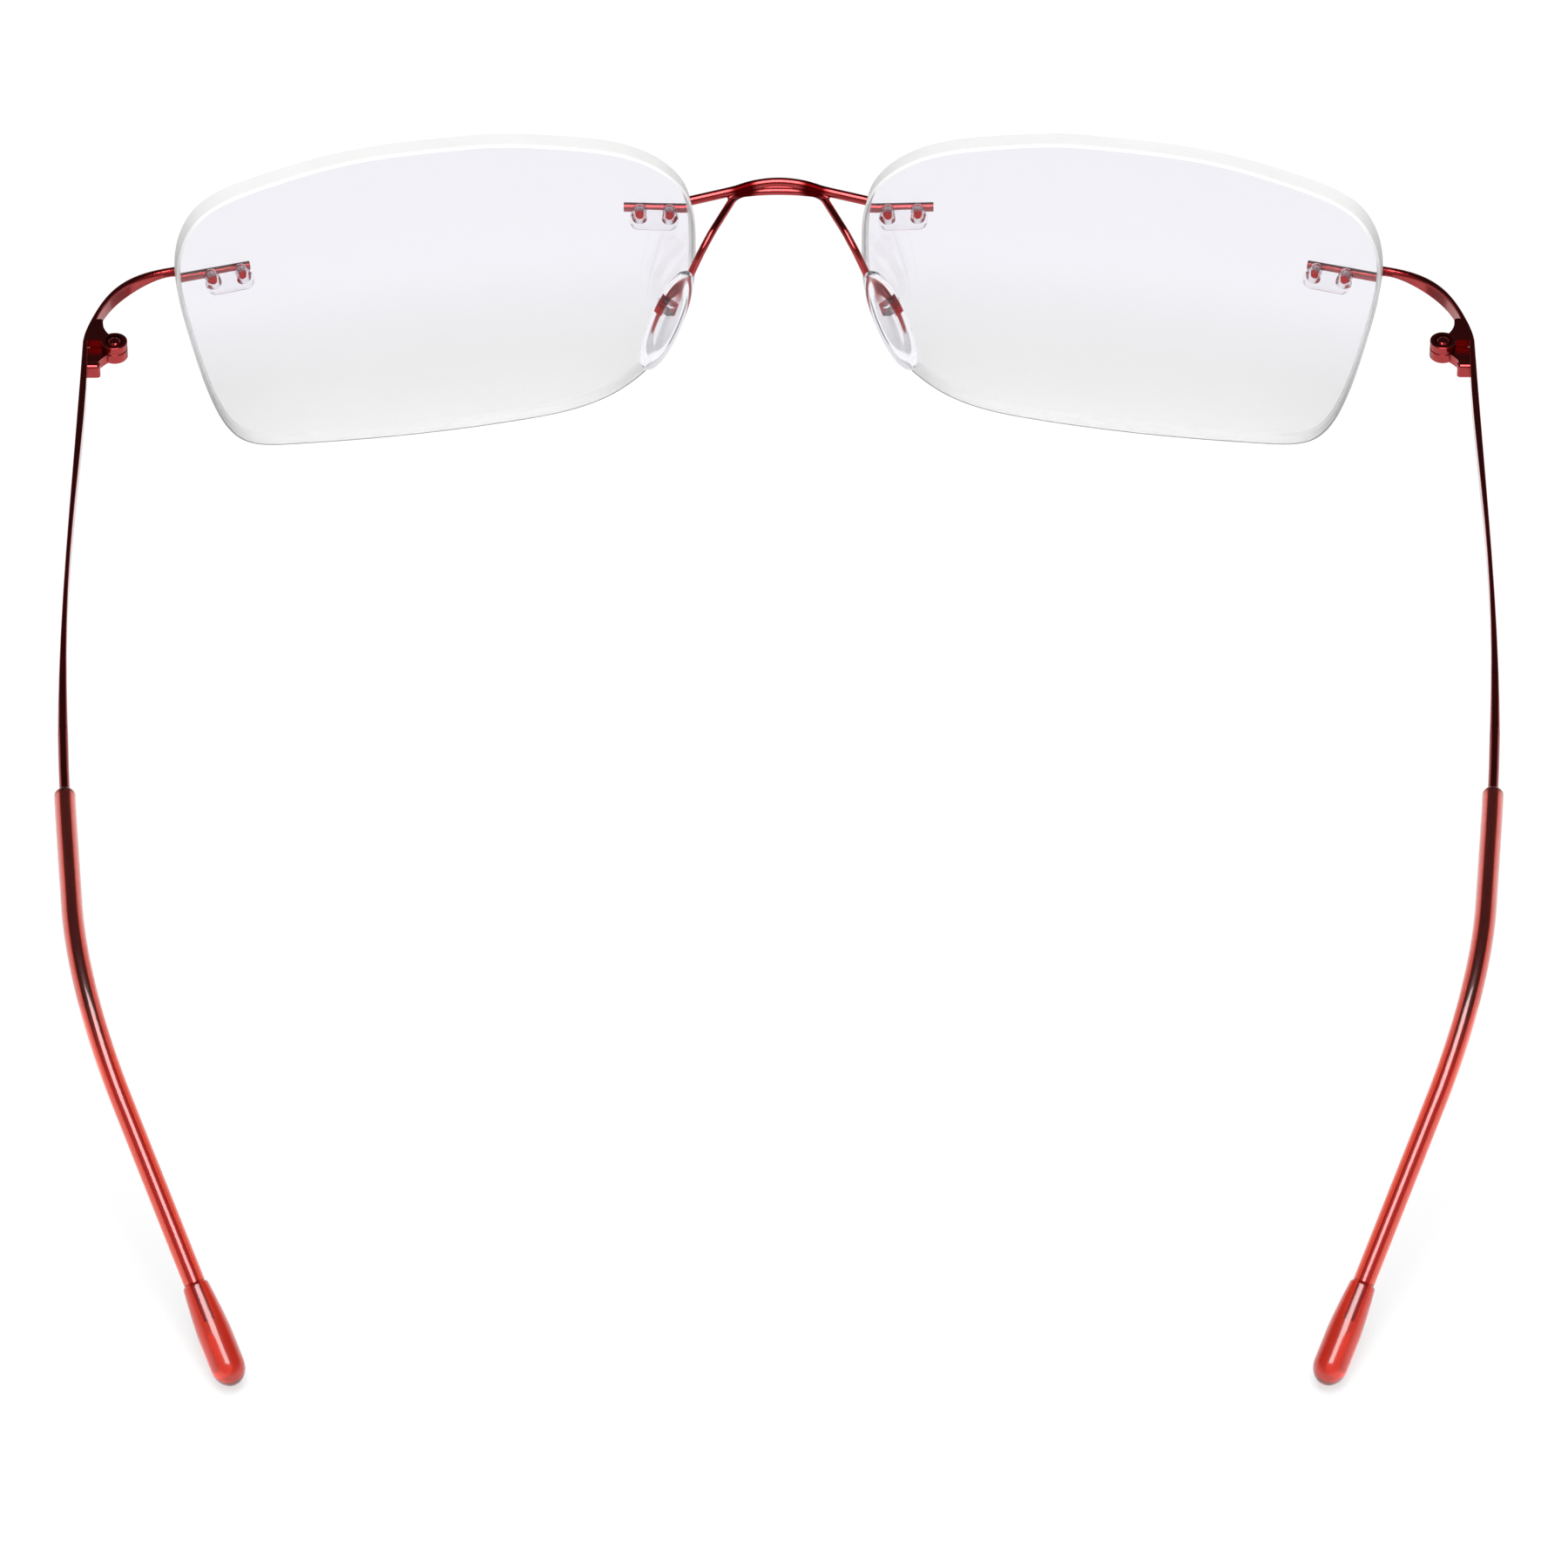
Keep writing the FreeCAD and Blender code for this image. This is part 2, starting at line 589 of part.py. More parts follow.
def hinge_screw():
    """A slotted screw with a domed head; its lower end is flared so that it can't back out."""
    r = HINGE_SCREW_DIAMETER / 2
    seat = UPPER_KNUCKLE - SCREW_SINK_DEPTH
    crown = seat + SCREW_HEAD_HEIGHT
    head = Part.makeCylinder(SCREW_HEAD_DIAMETER / 2, SCREW_HEAD_HEIGHT, V(0, 0, seat))
    rim = [e for e in head.Edges if e.Length > 2 * r and e.CenterOfMass.z > crown - 0.01]
    head = head.makeFillet(SCREW_HEAD_ROUNDING, rim)
    cut = SCREW_SLOT_WIDTH / 2
    head = head.cut(local_box(-cut, cut, -2, 2, crown - SCREW_SLOT_DEPTH, crown + 1))
    shank = Part.makeCylinder(r, seat + LOWER_KNUCKLE, V(0, 0, -LOWER_KNUCKLE))
    flare = Part.makeCylinder(SCREW_FLARE_DIAMETER / 2, SCREW_FLARE_DEPTH, V(0, 0, -LOWER_KNUCKLE))
    solid = head.fuse([shank, flare]).removeSplitter()
    solid.translate(hinge_place())
    return solid


# ---- temples


def temple_route():
    start = V(HINGE_LINE_X, HINGE_Y - TEMPLE_START_GAP, HINGE_Z)
    gentle = V(HINGE_LINE_X, TEMPLE_GENTLE_Y, HINGE_Z)
    ear_run = TEMPLE_GENTLE_Y - EAR_BEND_Y
    ear = gentle + V(-TEMPLE_DRIFT * ear_run, -ear_run, 0)
    drop = math.radians(EAR_DROP_ANGLE)
    heading = unit(V(-EAR_INWARD, -math.cos(drop), -math.sin(drop)))
    end = ear + heading * EAR_LENGTH
    return rounded_route([start, gentle, ear, end], [TEMPLE_GENTLE_RADIUS, EAR_BEND_RADIUS])


def part_of_route(route, begin, end):
    """The stretch of a route between two lengths along it."""
    edges = []
    done = 0.0
    for edge in route.Edges:
        low = max(begin - done, 0.0)
        high = min(end - done, edge.Length)
        if high - low > 1e-6:
            p = edge.getParameterByLength(low)
            q = edge.getParameterByLength(high)
            edges.append(edge.Curve.toShape(p, q))
        done += edge.Length
    return Part.Wire(edges)


def point_on_route(route, length):
    """The point and the heading at a length along a route."""
    piece = part_of_route(route, 0.0, length).Edges[-1] if length > 0 else route.Edges[0]
    where = piece.LastParameter if length > 0 else piece.FirstParameter
    return piece.valueAt(where), piece.tangentAt(where)


def temple_wire(route):
    """A thin upright ribbon from the hinge that is rounded off before it enters the sleeve."""
    d = TEMPLE_WIRE_DIAMETER
    sections = []
    for length, thickness, height in TEMPLE_STATIONS:
        point, heading = point_on_route(route, length)
        corner = RIBBON_CORNER * thickness
        sections.append(rounded_section(point, heading, thickness, height, corner))
    point, heading = point_on_route(route, RIBBON_LENGTH)
    sections.append(rounded_section(point, heading, d, d, WIRE_CORNER * d))
    ribbon = Part.makeLoft(sections, True, False)
    end = route.Length - BULB_LENGTH + CORE_IN_BULB
    core = round_sweep(part_of_route(route, RIBBON_LENGTH - RIBBON_OVERLAP, end), d)
    return ribbon.fuse(core).removeSplitter()


def temple_sleeve(route):
    """The clear coloured tube over the wire, from before the ear bend to the end."""
    tube = part_of_route(route, SLEEVE_START, route.Length - BULB_LENGTH)
    solid = round_sweep(tube, SLEEVE_DIAMETER)
    start = point_on_route(route, SLEEVE_START)[0]
    rings = [e for e in solid.Edges if e.Length > SLEEVE_DIAMETER * 3]
    mouth = [e for e in rings if (e.CenterOfMass - start).Length < 0.01]
    solid = solid.makeFillet(SLEEVE_MOUTH_ROUNDING, mouth)
    return solid.cut(round_sweep(tube, TEMPLE_WIRE_DIAMETER + 2 * SLEEVE_GAP))


def temple_end(route):
    """The bullet-shaped end, a little fatter than the sleeve that it closes."""
    r = BULB_DIAMETER / 2
    neck = BULB_NECK_DIAMETER / 2
    band_start, band_end = BULB_BAND
    flare = Part.BSplineCurve()
    middle = V(0.45 * neck + 0.55 * r, 0, 0.45 * band_start)
    waist = [V(neck, 0, BULB_SHOULDER), middle, V(r, 0, band_start)]
    flare.interpolate(Points=waist, InitialTangent=V(0.12, 0, 1), FinalTangent=V(0, 0, 1))
    bow = BULB_SHOULDER * (1 - math.sqrt(0.5))
    shoulder = Part.Arc(V(neck - BULB_SHOULDER, 0, 0), V(neck - bow, 0, bow), waist[0])
    nose = Part.Ellipse(V(0, 0, BULB_LENGTH), V(r, 0, band_end), V(0, 0, band_end))
    foot = V(0, 0, 0)
    edges = [Part.LineSegment(foot, V(neck - BULB_SHOULDER, 0, 0)).toShape()]
    edges.append(shoulder.toShape())
    edges.append(flare.toShape())
    edges.append(Part.LineSegment(waist[-1], V(r, 0, band_end)).toShape())
    edges.append(nose.toShape(0, math.pi / 2))
    edges.append(Part.LineSegment(V(0, 0, BULB_LENGTH), foot).toShape())
    profile = Part.Face(Part.Wire(Part.sortEdges(edges)[0]))
    solid = profile.revolve(V(0, 0, 0), V(0, 0, 1), 360)
    bore = Part.makeCylinder(TEMPLE_WIRE_DIAMETER / 2 + SLEEVE_GAP, CORE_IN_BULB + 1, V(0, 0, -1))
    solid = solid.cut(bore)
    solid.Placement = bulb_frame(route)
    return solid


def bulb_frame(route):
    """Axes at the neck of a temple end: z out along it."""
    point, heading = point_on_route(route, route.Length - BULB_LENGTH)
    side = unit(heading.cross(V(0, 0, 1)))
    return frame_of(point, side, heading.cross(side), heading)


# ---- standing pose


def standing_place():
    """Tips the worn glasses nose down until the lenses and the temple ends reach one level."""
    bottom = min(LENS_OUTLINE, key=lambda point: point[1])
    u, v = bottom
    lens_foot = lens_placement().multVec(V(u, back_depth(u, v), v))
    bulb = bulb_frame(temple_route())
    cap = bulb.multVec(V(0, 0, BULB_BAND[1]))
    heading = bulb.Rotation.multVec(V(0, 0, 1))
    long_reach = (BULB_LENGTH - BULB_BAND[1]) * heading.z
    cross_reach = BULB_DIAMETER / 2 * math.sqrt(1 - heading.z**2)
    tip_z = cap.z - math.hypot(long_reach, cross_reach)
    angle = math.degrees(math.atan2(lens_foot.z - tip_z, lens_foot.y - cap.y))
    return FreeCAD.Placement(V(0, 0, 0), FreeCAD.Rotation(V(1, 0, 0), -angle))


def worn_parts():
    """Every piece as worn: single ones by name, paired ones drawn for the right side."""
    place = lens_placement()
    route = temple_route()
    bridge = bridge_wire(place)
    arm = pad_arm_wire(bridge)
    single = {"bridge_wire": bridge, "pad_arm_wire": arm}
    paired = {
        "lens": lens(),
        "lens_plug_nasal": double_plug(NASAL_HOLES),
        "lens_plug_temporal": double_plug(TEMPORAL_HOLES),
    }
    for shape in paired.values():
        shape.Placement = place.multiply(shape.Placement)
    front_ribbon = endpiece(place)
    temple_ribbon = temple_wire(route)
    paired.update({
        "endpiece": front_ribbon,
        "hinge_front_leaf": front_leaf(front_ribbon),
        "hinge_temple_leaf": temple_leaf(temple_ribbon),
        "hinge_screw": hinge_screw(),
        "pad_box": pad_box(arm),
        "pad_screw": pad_screw(),
        "pad_core": pad_core(),
        "nose_pad": nose_pad(),
        "temple_wire": temple_ribbon,
        "temple_sleeve": temple_sleeve(route),
        "temple_end": temple_end(route),
    })
    shapes = dict(single)
    for name, shape in paired.items():
        shapes[name + "_right"] = shape
        shapes[name + "_left"] = mirrored(shape)
    return shapes


def final_place(shapes):
    """The standing pose, moved so that the origin is at the bottom centre of the whole box."""
    tip = standing_place()
    whole = Part.Compound([shape.copy() for shape in shapes.values()])
    whole.Placement = tip
    box = whole.optimalBoundingBox(False, False)
    shift = V(-(box.XMin + box.XMax) / 2, -(box.YMin + box.YMax) / 2, -box.ZMin)
    return FreeCAD.Placement(shift, FreeCAD.Rotation()).multiply(tip)


def main():
    os.makedirs("parts", exist_ok=True)
    shapes = worn_parts()
    place = final_place(shapes)
    for name, shape in shapes.items():
        shape.Placement = place.multiply(shape.Placement)
        shape.exportStep("parts/" + name + ".step")
        print(name, "valid", shape.isValid(), "solids", len(shape.Solids), round(shape.Volume, 2))


if __name__ == "__main__":
    main()
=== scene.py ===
"""Rimless eyeglasses: finishes, brazed joints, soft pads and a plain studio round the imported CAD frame."""

import json
import math

import bpy
import bmesh
from bpy.props import FloatProperty, FloatVectorProperty, PointerProperty
from mathutils import Matrix, Vector


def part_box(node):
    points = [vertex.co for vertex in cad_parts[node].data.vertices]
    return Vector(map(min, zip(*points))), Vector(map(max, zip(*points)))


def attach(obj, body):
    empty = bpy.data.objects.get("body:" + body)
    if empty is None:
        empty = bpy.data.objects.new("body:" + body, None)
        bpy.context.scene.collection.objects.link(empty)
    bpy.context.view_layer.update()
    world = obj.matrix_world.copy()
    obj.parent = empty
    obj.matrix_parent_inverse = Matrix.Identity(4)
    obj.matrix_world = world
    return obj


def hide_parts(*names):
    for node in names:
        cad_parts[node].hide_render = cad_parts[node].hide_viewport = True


bl_info = {
    "name": "Rimless Eyeglasses",
    "version": (1, 0, 0),
    "blender": (4, 5, 0),
    "location": "View3D > Sidebar > Eyeglasses",
    "description": "Finishes for a pair of rimless eyeglasses with wire temples",
    "category": "Object",
}

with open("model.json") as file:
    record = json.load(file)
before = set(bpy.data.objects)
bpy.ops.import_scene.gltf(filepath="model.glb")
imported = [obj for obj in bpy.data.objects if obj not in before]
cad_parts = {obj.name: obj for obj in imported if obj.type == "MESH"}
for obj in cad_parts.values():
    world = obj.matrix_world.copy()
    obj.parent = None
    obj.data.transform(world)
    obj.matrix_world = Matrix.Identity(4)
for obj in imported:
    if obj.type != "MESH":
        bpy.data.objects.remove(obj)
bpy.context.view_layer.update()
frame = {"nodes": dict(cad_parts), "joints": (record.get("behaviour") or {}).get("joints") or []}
NODES = frame["nodes"]
SIDES = ("right", "left")
MM = 0.001

# Where the sleeve begins, the temple wire's plating colour gives way to painted shade and light: near black
# inside the sleeve, bright red past the ear bend.
SLEEVE_MOUTH_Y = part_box("temple_sleeve_right")[1][1]
SLEEVE_MOUTH_FADE = 0.2 * MM
# Along the temple, between these two places, the wire in the sleeve changes from painted shade to painted
# light, and the sleeve to its deeper painted shade.
EAR_BEND_START = -42 * MM
EAR_BEND_END = -50 * MM

# The brazing between the bridge and the pad arms, from its middle out to its end: the points
# of its line and its radius at each of them, in mm.
BRAZING_ROUTE = ((0.0, 71.2, 24.34), (2.6, 71.15, 24.1), (4.3, 70.75, 23.8), (5.1, 70.1, 23.72))
BRAZING_RADII = (0.33, 0.33, 0.5, 0.16)
BRAZING_ROUNDNESS = 8

# Painted shade: in two spots either side of the bridge's middle, the plating is painted darker to stand in
# for a dark reflection there, and is also rougher and bare of lacquer.
SHADE_SPOT_CENTRE = Vector((3.6, 71.0, 24.4)) * MM
SHADE_SPOT_NEAR = 0.9 * MM
SHADE_SPOT_FAR = 1.9 * MM
SHADE_SPOT_DARKENING = 0.2
SHADE_SPOT_ROUGHNESS = 0.2

# The clear lacquer over the plating, and how much rougher the plating is where it is handled.
LACQUER_IOR = 1.5
LACQUER_ROUGHNESS = 0.1
HANDLED_ROUGHNESS = 0.09

# The fine grain: its depth, and how strongly the plating, the ground edge and plastic show it.
GRAIN_DEPTH = 0.02 * MM
PLATING_GRAIN = 0.04
EDGE_GRAIN = 0.08
PLASTIC_GRAIN = 0.05

# How many patches and grains of handling marks each finish has in a metre.
PLATING_MARKS = {"Patch_Scale": 420.0, "Grain_Scale": 3800.0}
PLATING_GLOSS_MARKS = {"Patch_Scale": 260.0, "Grain_Scale": 5200.0}
LENS_MARKS = {"Patch_Scale": 60.0, "Grain_Scale": 900.0}
EDGE_MARKS = {"Patch_Scale": 200.0, "Grain_Scale": 6000.0}
PLASTIC_MARKS = {"Patch_Scale": 500.0, "Grain_Scale": 2600.0}
# The marks start to show at the first of these noise values and are full at the second.
MARKS_FAINT = 0.12
MARKS_FULL = 0.42

# Heights between which the lens and its edge change from their lower colour, which is painted shade, to
# their upper colour.
LENS_LOW = 6 * MM
LENS_HIGH = 20 * MM
EDGE_LOW = 4 * MM
EDGE_HIGH = 16 * MM

# The lens: clear resin with the faintest film of grease, and a frosted edge.
RESIN_IOR = 1.5
LENS_FILM = 0.005
EDGE_IOR = 1.3
EDGE_CLEARNESS = 0.12
FROST_SHADE = 0.96

# The bonded bore hardly bends light, and the clear plug little: their edges stay faint.
BORE_IOR = 1.02
PLUG_IOR = 1.1
PLUG_ROUGHNESS = 0.15

# How much darker and rougher the uneven spots of a clear moulding are.
HAZE_SHADE = 0.97
HAZE_ROUGHNESS = 0.05

SILICONE_IOR = 1.3
SILICONE_ROUGHNESS = 0.1

# The red mouldings and the soft gloss on their surface.
MOULDING_IOR = 1.45
MOULDING_ROUGHNESS = 0.02
GLOSS_IOR = 1.45
GLOSS_ROUGHNESS = 0.25

# Corners closer than this are one corner.
WELD = 1e-4 * MM
LENS_WELD = 1e-3 * MM

# The polished faces of a lens bend less than this between neighbouring facets.
LENS_CREASE = math.radians(12.0)
# A lens edge that bends more than this is crisp, and so is each meeting of two finishes.
LENS_SHARP = math.radians(20.0)

# The nose pad, about its own middle. Higher squareness is flatter, with tighter shoulders.
# The dish in its back runs from its floor to its rim over a slope that is a share of its width.
PAD_DOWN = Vector((0.309, -0.106, -0.945))
PAD_PIVOT_RISE = 1.3 * MM
PAD_PIVOT_DEPTH = 0.8 * MM
PAD_OVAL = 2.2
PAD_FACE_SQUARENESS = 2.2
PAD_BACK_SQUARENESS = 3.0
PAD_DISH_LENGTH = 9.6 * MM
PAD_DISH_WIDTH = 3.2 * MM
PAD_DISH_SLOPE = 0.3
PAD_DISH_FLOOR = 0.2 * MM
PAD_LUG_THICKNESS = 0.7 * MM
PAD_LUG_RADIUS = 0.5 * MM
PAD_LUG_GAP = 0.02 * MM
PAD_LUG_FOOT = 0.1
PAD_SHARP = math.radians(50.0)
PAD_SEGMENTS = 96
PAD_RINGS = 64
PAD_LUG_SEGMENTS = 32

# Fewer diffuse bounces than this is none at all.
NO_BOUNCE = 0.5

# The studio: the floor's own shade and the glow that lifts it to white.
FLOOR_REACH = 3.0
FLOOR_SHADE = 0.33
FLOOR_GLOW = 0.68
# The ceiling that gloss mirrors, from the wearer's side to the far side.
CEILING_NEAR = 0.38
CEILING_FAR = 0.06
CEILING_START = -0.9
CEILING_END = 0.3
# The pale horizon that gloss mirrors too: full up to the first height of a direction, and
# gone from the second.
HORIZON_GLOW = 0.85
HORIZON_FULL = 0.12
HORIZON_GONE = 0.32
SOFTBOX_WIDTH = 1.4
SOFTBOX_LENGTH = 2.0
SOFTBOX_DISTANCE = 2.4
SOFTBOX_LEAN = math.radians(13.5)
# The camera looks at this point.
CAMERA_TARGET = Vector((0.0005, 0.0095, 0.0))
CAMERA_NEAR = 0.01
CAMERA_FAR = 20.0


# ---- node helpers


def new_material(name):
    """A material with one Principled shader, and that shader."""
    material = bpy.data.materials.new(name)
    material.use_nodes = True
    tree = material.node_tree
    tree.nodes.clear()
    output = tree.nodes.new("ShaderNodeOutputMaterial")
    shader = tree.nodes.new("ShaderNodeBsdfPrincipled")
    tree.links.new(shader.outputs["BSDF"], output.inputs["Surface"])
    return material, shader


def object_coordinates(tree):
    """Places on the object, in its own frame."""
    return tree.nodes.new("ShaderNodeTexCoord").outputs["Object"]


def coordinate(tree, axis):
    """One coordinate on the object, in metres."""
    place = tree.nodes.new("ShaderNodeSeparateXYZ")
    tree.links.new(object_coordinates(tree), place.inputs[0])
    return place.outputs[axis]


def past_ear(tree):
    """0 on the straight part of a temple, 1 beyond the bend that goes over the ear."""
    return ramp(tree, coordinate(tree, "Y"), EAR_BEND_END, EAR_BEND_START, 1.0, 0.0)


def shade_spots(tree):
    """1 in the two spots of painted shade beside the middle of the bridge, 0 elsewhere."""
    mirrored = tree.nodes.new("ShaderNodeVectorMath")
    mirrored.operation = "ABSOLUTE"
    tree.links.new(object_coordinates(tree), mirrored.inputs[0])
    away = tree.nodes.new("ShaderNodeVectorMath")
    away.operation = "DISTANCE"
    tree.links.new(mirrored.outputs["Vector"], away.inputs[0])
    away.inputs[1].default_value = SHADE_SPOT_CENTRE
    return ramp(tree, away.outputs["Value"], SHADE_SPOT_NEAR, SHADE_SPOT_FAR, 1.0, 0.0)


def ramp(tree, value, low, high, to_low=0.0, to_high=1.0):
    """A value mapped from one range to another, held at both ends."""
    node = tree.nodes.new("ShaderNodeMapRange")
    node.interpolation_type = "SMOOTHSTEP"
    node.inputs["From Min"].default_value = low
    node.inputs["From Max"].default_value = high
    node.inputs["To Min"].default_value = to_low
    node.inputs["To Max"].default_value = to_high
    tree.links.new(value, node.inputs["Value"])
    return node.outputs["Result"]


def mixed(tree, mask, first, second):
    """A colour between two, each a socket or a colour."""
    node = tree.nodes.new("ShaderNodeMix")
    node.data_type = "RGBA"
    tree.links.new(mask, node.inputs["Factor"])
    for name, value in (("A", first), ("B", second)):
        colours = [socket for socket in node.inputs if socket.type == "RGBA"]
        socket = [socket for socket in colours if socket.name == name][0]
        if isinstance(value, bpy.types.NodeSocket):
            tree.links.new(value, socket)
        else:
            socket.default_value = (*value[:3], 1.0)
    return [socket for socket in node.outputs if socket.type == "RGBA"][0]


def combined(tree, operation, first, second):
    """Two values put through one Math node; the second is a socket or a number."""
    node = tree.nodes.new("ShaderNodeMath")
    node.operation = operation
    tree.links.new(first, node.inputs[0])
    if isinstance(second, bpy.types.NodeSocket):
        tree.links.new(second, node.inputs[1])
    else:
        node.inputs[1].default_value = second
    return node.outputs[0]


def blended(tree, mask, first, second):
    """A value from a socket towards a plain number, by a mask."""
    node = tree.nodes.new("ShaderNodeMix")
    tree.links.new(mask, node.inputs["Factor"])
    tree.links.new(first, node.inputs["A"])
    node.inputs["B"].default_value = second
    return node.outputs["Result"]


def group_node(tree, group, **values):
    """A node for a shared group; an underscore in a value's name stands for a space."""
    node = tree.nodes.new("ShaderNodeGroup")
    node.node_tree = group
    for name, value in values.items():
        node.inputs[name.replace("_", " ")].default_value = value
    return node


def new_group(name, inputs, outputs):
    """An empty shader group, with its input and output nodes."""
    group = bpy.data.node_groups.new(name, "ShaderNodeTree")
    for label in inputs:
        group.interface.new_socket(name=label, in_out="INPUT", socket_type="NodeSocketFloat")
    for label in outputs:
        group.interface.new_socket(name=label, in_out="OUTPUT", socket_type="NodeSocketFloat")
    return group, group.nodes.new("NodeGroupInput"), group.nodes.new("NodeGroupOutput")


def handling_marks():
    """Faint smears from handling: broad soft patches broken up by a finer grain."""
    group, given, result = new_group(
        "Handling marks", ("Patch Scale", "Grain Scale", "Low", "High"), ("Value", "Grain")
    )
    where = object_coordinates(group)
    patches = group.nodes.new("ShaderNodeTexNoise")
    grain = group.nodes.new("ShaderNodeTexNoise")
    for node, name in ((patches, "Patch Scale"), (grain, "Grain Scale")):
        group.links.new(where, node.inputs["Vector"])
        group.links.new(given.outputs[name], node.inputs["Scale"])
    both = group.nodes.new("ShaderNodeMath")
    both.operation = "MULTIPLY"
    group.links.new(patches.outputs["Fac"], both.inputs[0])
    group.links.new(grain.outputs["Fac"], both.inputs[1])
    spread = group.nodes.new("ShaderNodeMapRange")
    spread.inputs["From Min"].default_value = MARKS_FAINT
    spread.inputs["From Max"].default_value = MARKS_FULL
    group.links.new(both.outputs["Value"], spread.inputs["Value"])
    group.links.new(given.outputs["Low"], spread.inputs["To Min"])
    group.links.new(given.outputs["High"], spread.inputs["To Max"])
    group.links.new(spread.outputs["Result"], result.inputs["Value"])
    group.links.new(grain.outputs["Fac"], result.inputs["Grain"])
    return group


def bumped(tree, height, shader, strength):
    """Lets a finish show a height as fine grain."""
    node = tree.nodes.new("ShaderNodeBump")
    node.inputs["Strength"].default_value = strength
    node.inputs["Distance"].default_value = GRAIN_DEPTH
    tree.links.new(height, node.inputs["Height"])
    tree.links.new(node.outputs["Normal"], shader.inputs["Normal"])


# ---- materials


def plated_metal(name, settings, marks, lacquer=1.0, brazed=False, sleeved=False):
    """Red plating: a deep mirror with faint handling marks, under as much clear lacquer as given.

    Brazed plating has two spots of painted shade beside the bridge's middle, rougher and bare of lacquer
    there, and a sleeved wire is painted dark inside its sleeve and lit past the ear bend.
    """
    material, shader = new_material(name)
    tree = material.node_tree
    smear = group_node(tree, marks, **PLATING_MARKS, Low=0.0, High=1.0)
    rough = group_node(
        tree, marks, **PLATING_GLOSS_MARKS,
        Low=settings.plating_roughness, High=settings.plating_roughness + HANDLED_ROUGHNESS,
    )
    plating = settings.plating_colour
    colour = mixed(tree, smear.outputs["Value"], plating, settings.plating_worn)
    # Painted shade and light: inside its sleeve the wire is painted near black, and bright red past the ear
    # bend.
    if sleeved:
        core = mixed(tree, past_ear(tree), settings.painted_dark_core, settings.painted_lit_core)
        covered = ramp(
            tree, coordinate(tree, "Y"), SLEEVE_MOUTH_Y - SLEEVE_MOUTH_FADE, SLEEVE_MOUTH_Y,
            1.0, 0.0,
        )
        colour = mixed(tree, covered, colour, core)
    roughness = rough.outputs["Value"]
    shader.inputs["Coat Weight"].default_value = lacquer
    if brazed:
        shade_spot = shade_spots(tree)
        # Painted shade: the plating is darkened in the two spots beside the bridge's middle.
        colour = mixed(tree, shade_spot, colour, [part * SHADE_SPOT_DARKENING for part in plating])
        roughness = combined(
            tree, "ADD", combined(tree, "MULTIPLY", shade_spot, SHADE_SPOT_ROUGHNESS), roughness
        )
        # The lacquer is gone in the spots of painted shade: one less the mask.
        lacquered = combined(tree, "MULTIPLY_ADD", shade_spot, -1.0)
        lacquered.node.inputs[2].default_value = 1.0
        tree.links.new(lacquered, shader.inputs["Coat Weight"])
    tree.links.new(colour, shader.inputs["Base Color"])
    tree.links.new(roughness, shader.inputs["Roughness"])
    shader.inputs["Metallic"].default_value = 1.0
    shader.inputs["Specular Tint"].default_value = (*settings.plating_edge, 1.0)
    shader.inputs["Coat Roughness"].default_value = LACQUER_ROUGHNESS
    shader.inputs["Coat IOR"].default_value = LACQUER_IOR
    bumped(tree, smear.outputs["Grain"], shader, PLATING_GRAIN)
    return material


def lens_resin(settings, marks):
    """Polished clear resin: cool above, with painted shade making it faintly grey towards the lower rim, and
    a light film.
    """
    material, shader = new_material("Lens resin")
    tree = material.node_tree
    # Painted shade towards the lower rim.
    low = ramp(tree, coordinate(tree, "Z"), LENS_LOW, LENS_HIGH, 1.0, 0.0)
    film = group_node(tree, marks, **LENS_MARKS, Low=0.0, High=LENS_FILM)
    colour = mixed(tree, low, settings.lens_colour, settings.lens_shaded_colour)
    tree.links.new(colour, shader.inputs["Base Color"])
    tree.links.new(film.outputs["Value"], shader.inputs["Roughness"])
    shader.inputs["Transmission Weight"].default_value = 1.0
    shader.inputs["IOR"].default_value = RESIN_IOR
    return material


def ground_edge(settings, marks):
    """The lens's rim, ground to a fine frost: pale above, and painted grey along the lens's foot as painted
    shade.
    """
    material, shader = new_material("Ground lens edge")
    tree = material.node_tree
    frost = group_node(tree, marks, **EDGE_MARKS, Low=0.0, High=1.0)
    deeper = [part * FROST_SHADE for part in settings.edge_colour]
    colour = mixed(tree, frost.outputs["Value"], settings.edge_colour, deeper)
    # Painted shade along the lens's foot.
    low = ramp(tree, coordinate(tree, "Z"), EDGE_LOW, EDGE_HIGH, 1.0, 0.0)
    colour = mixed(tree, low, colour, settings.edge_shaded_colour)
    tree.links.new(colour, shader.inputs["Base Color"])
    shader.inputs["Roughness"].default_value = settings.edge_frost
    shader.inputs["Transmission Weight"].default_value = EDGE_CLEARNESS
    shader.inputs["IOR"].default_value = EDGE_IOR
    bumped(tree, frost.outputs["Grain"], shader, EDGE_GRAIN)
    return material


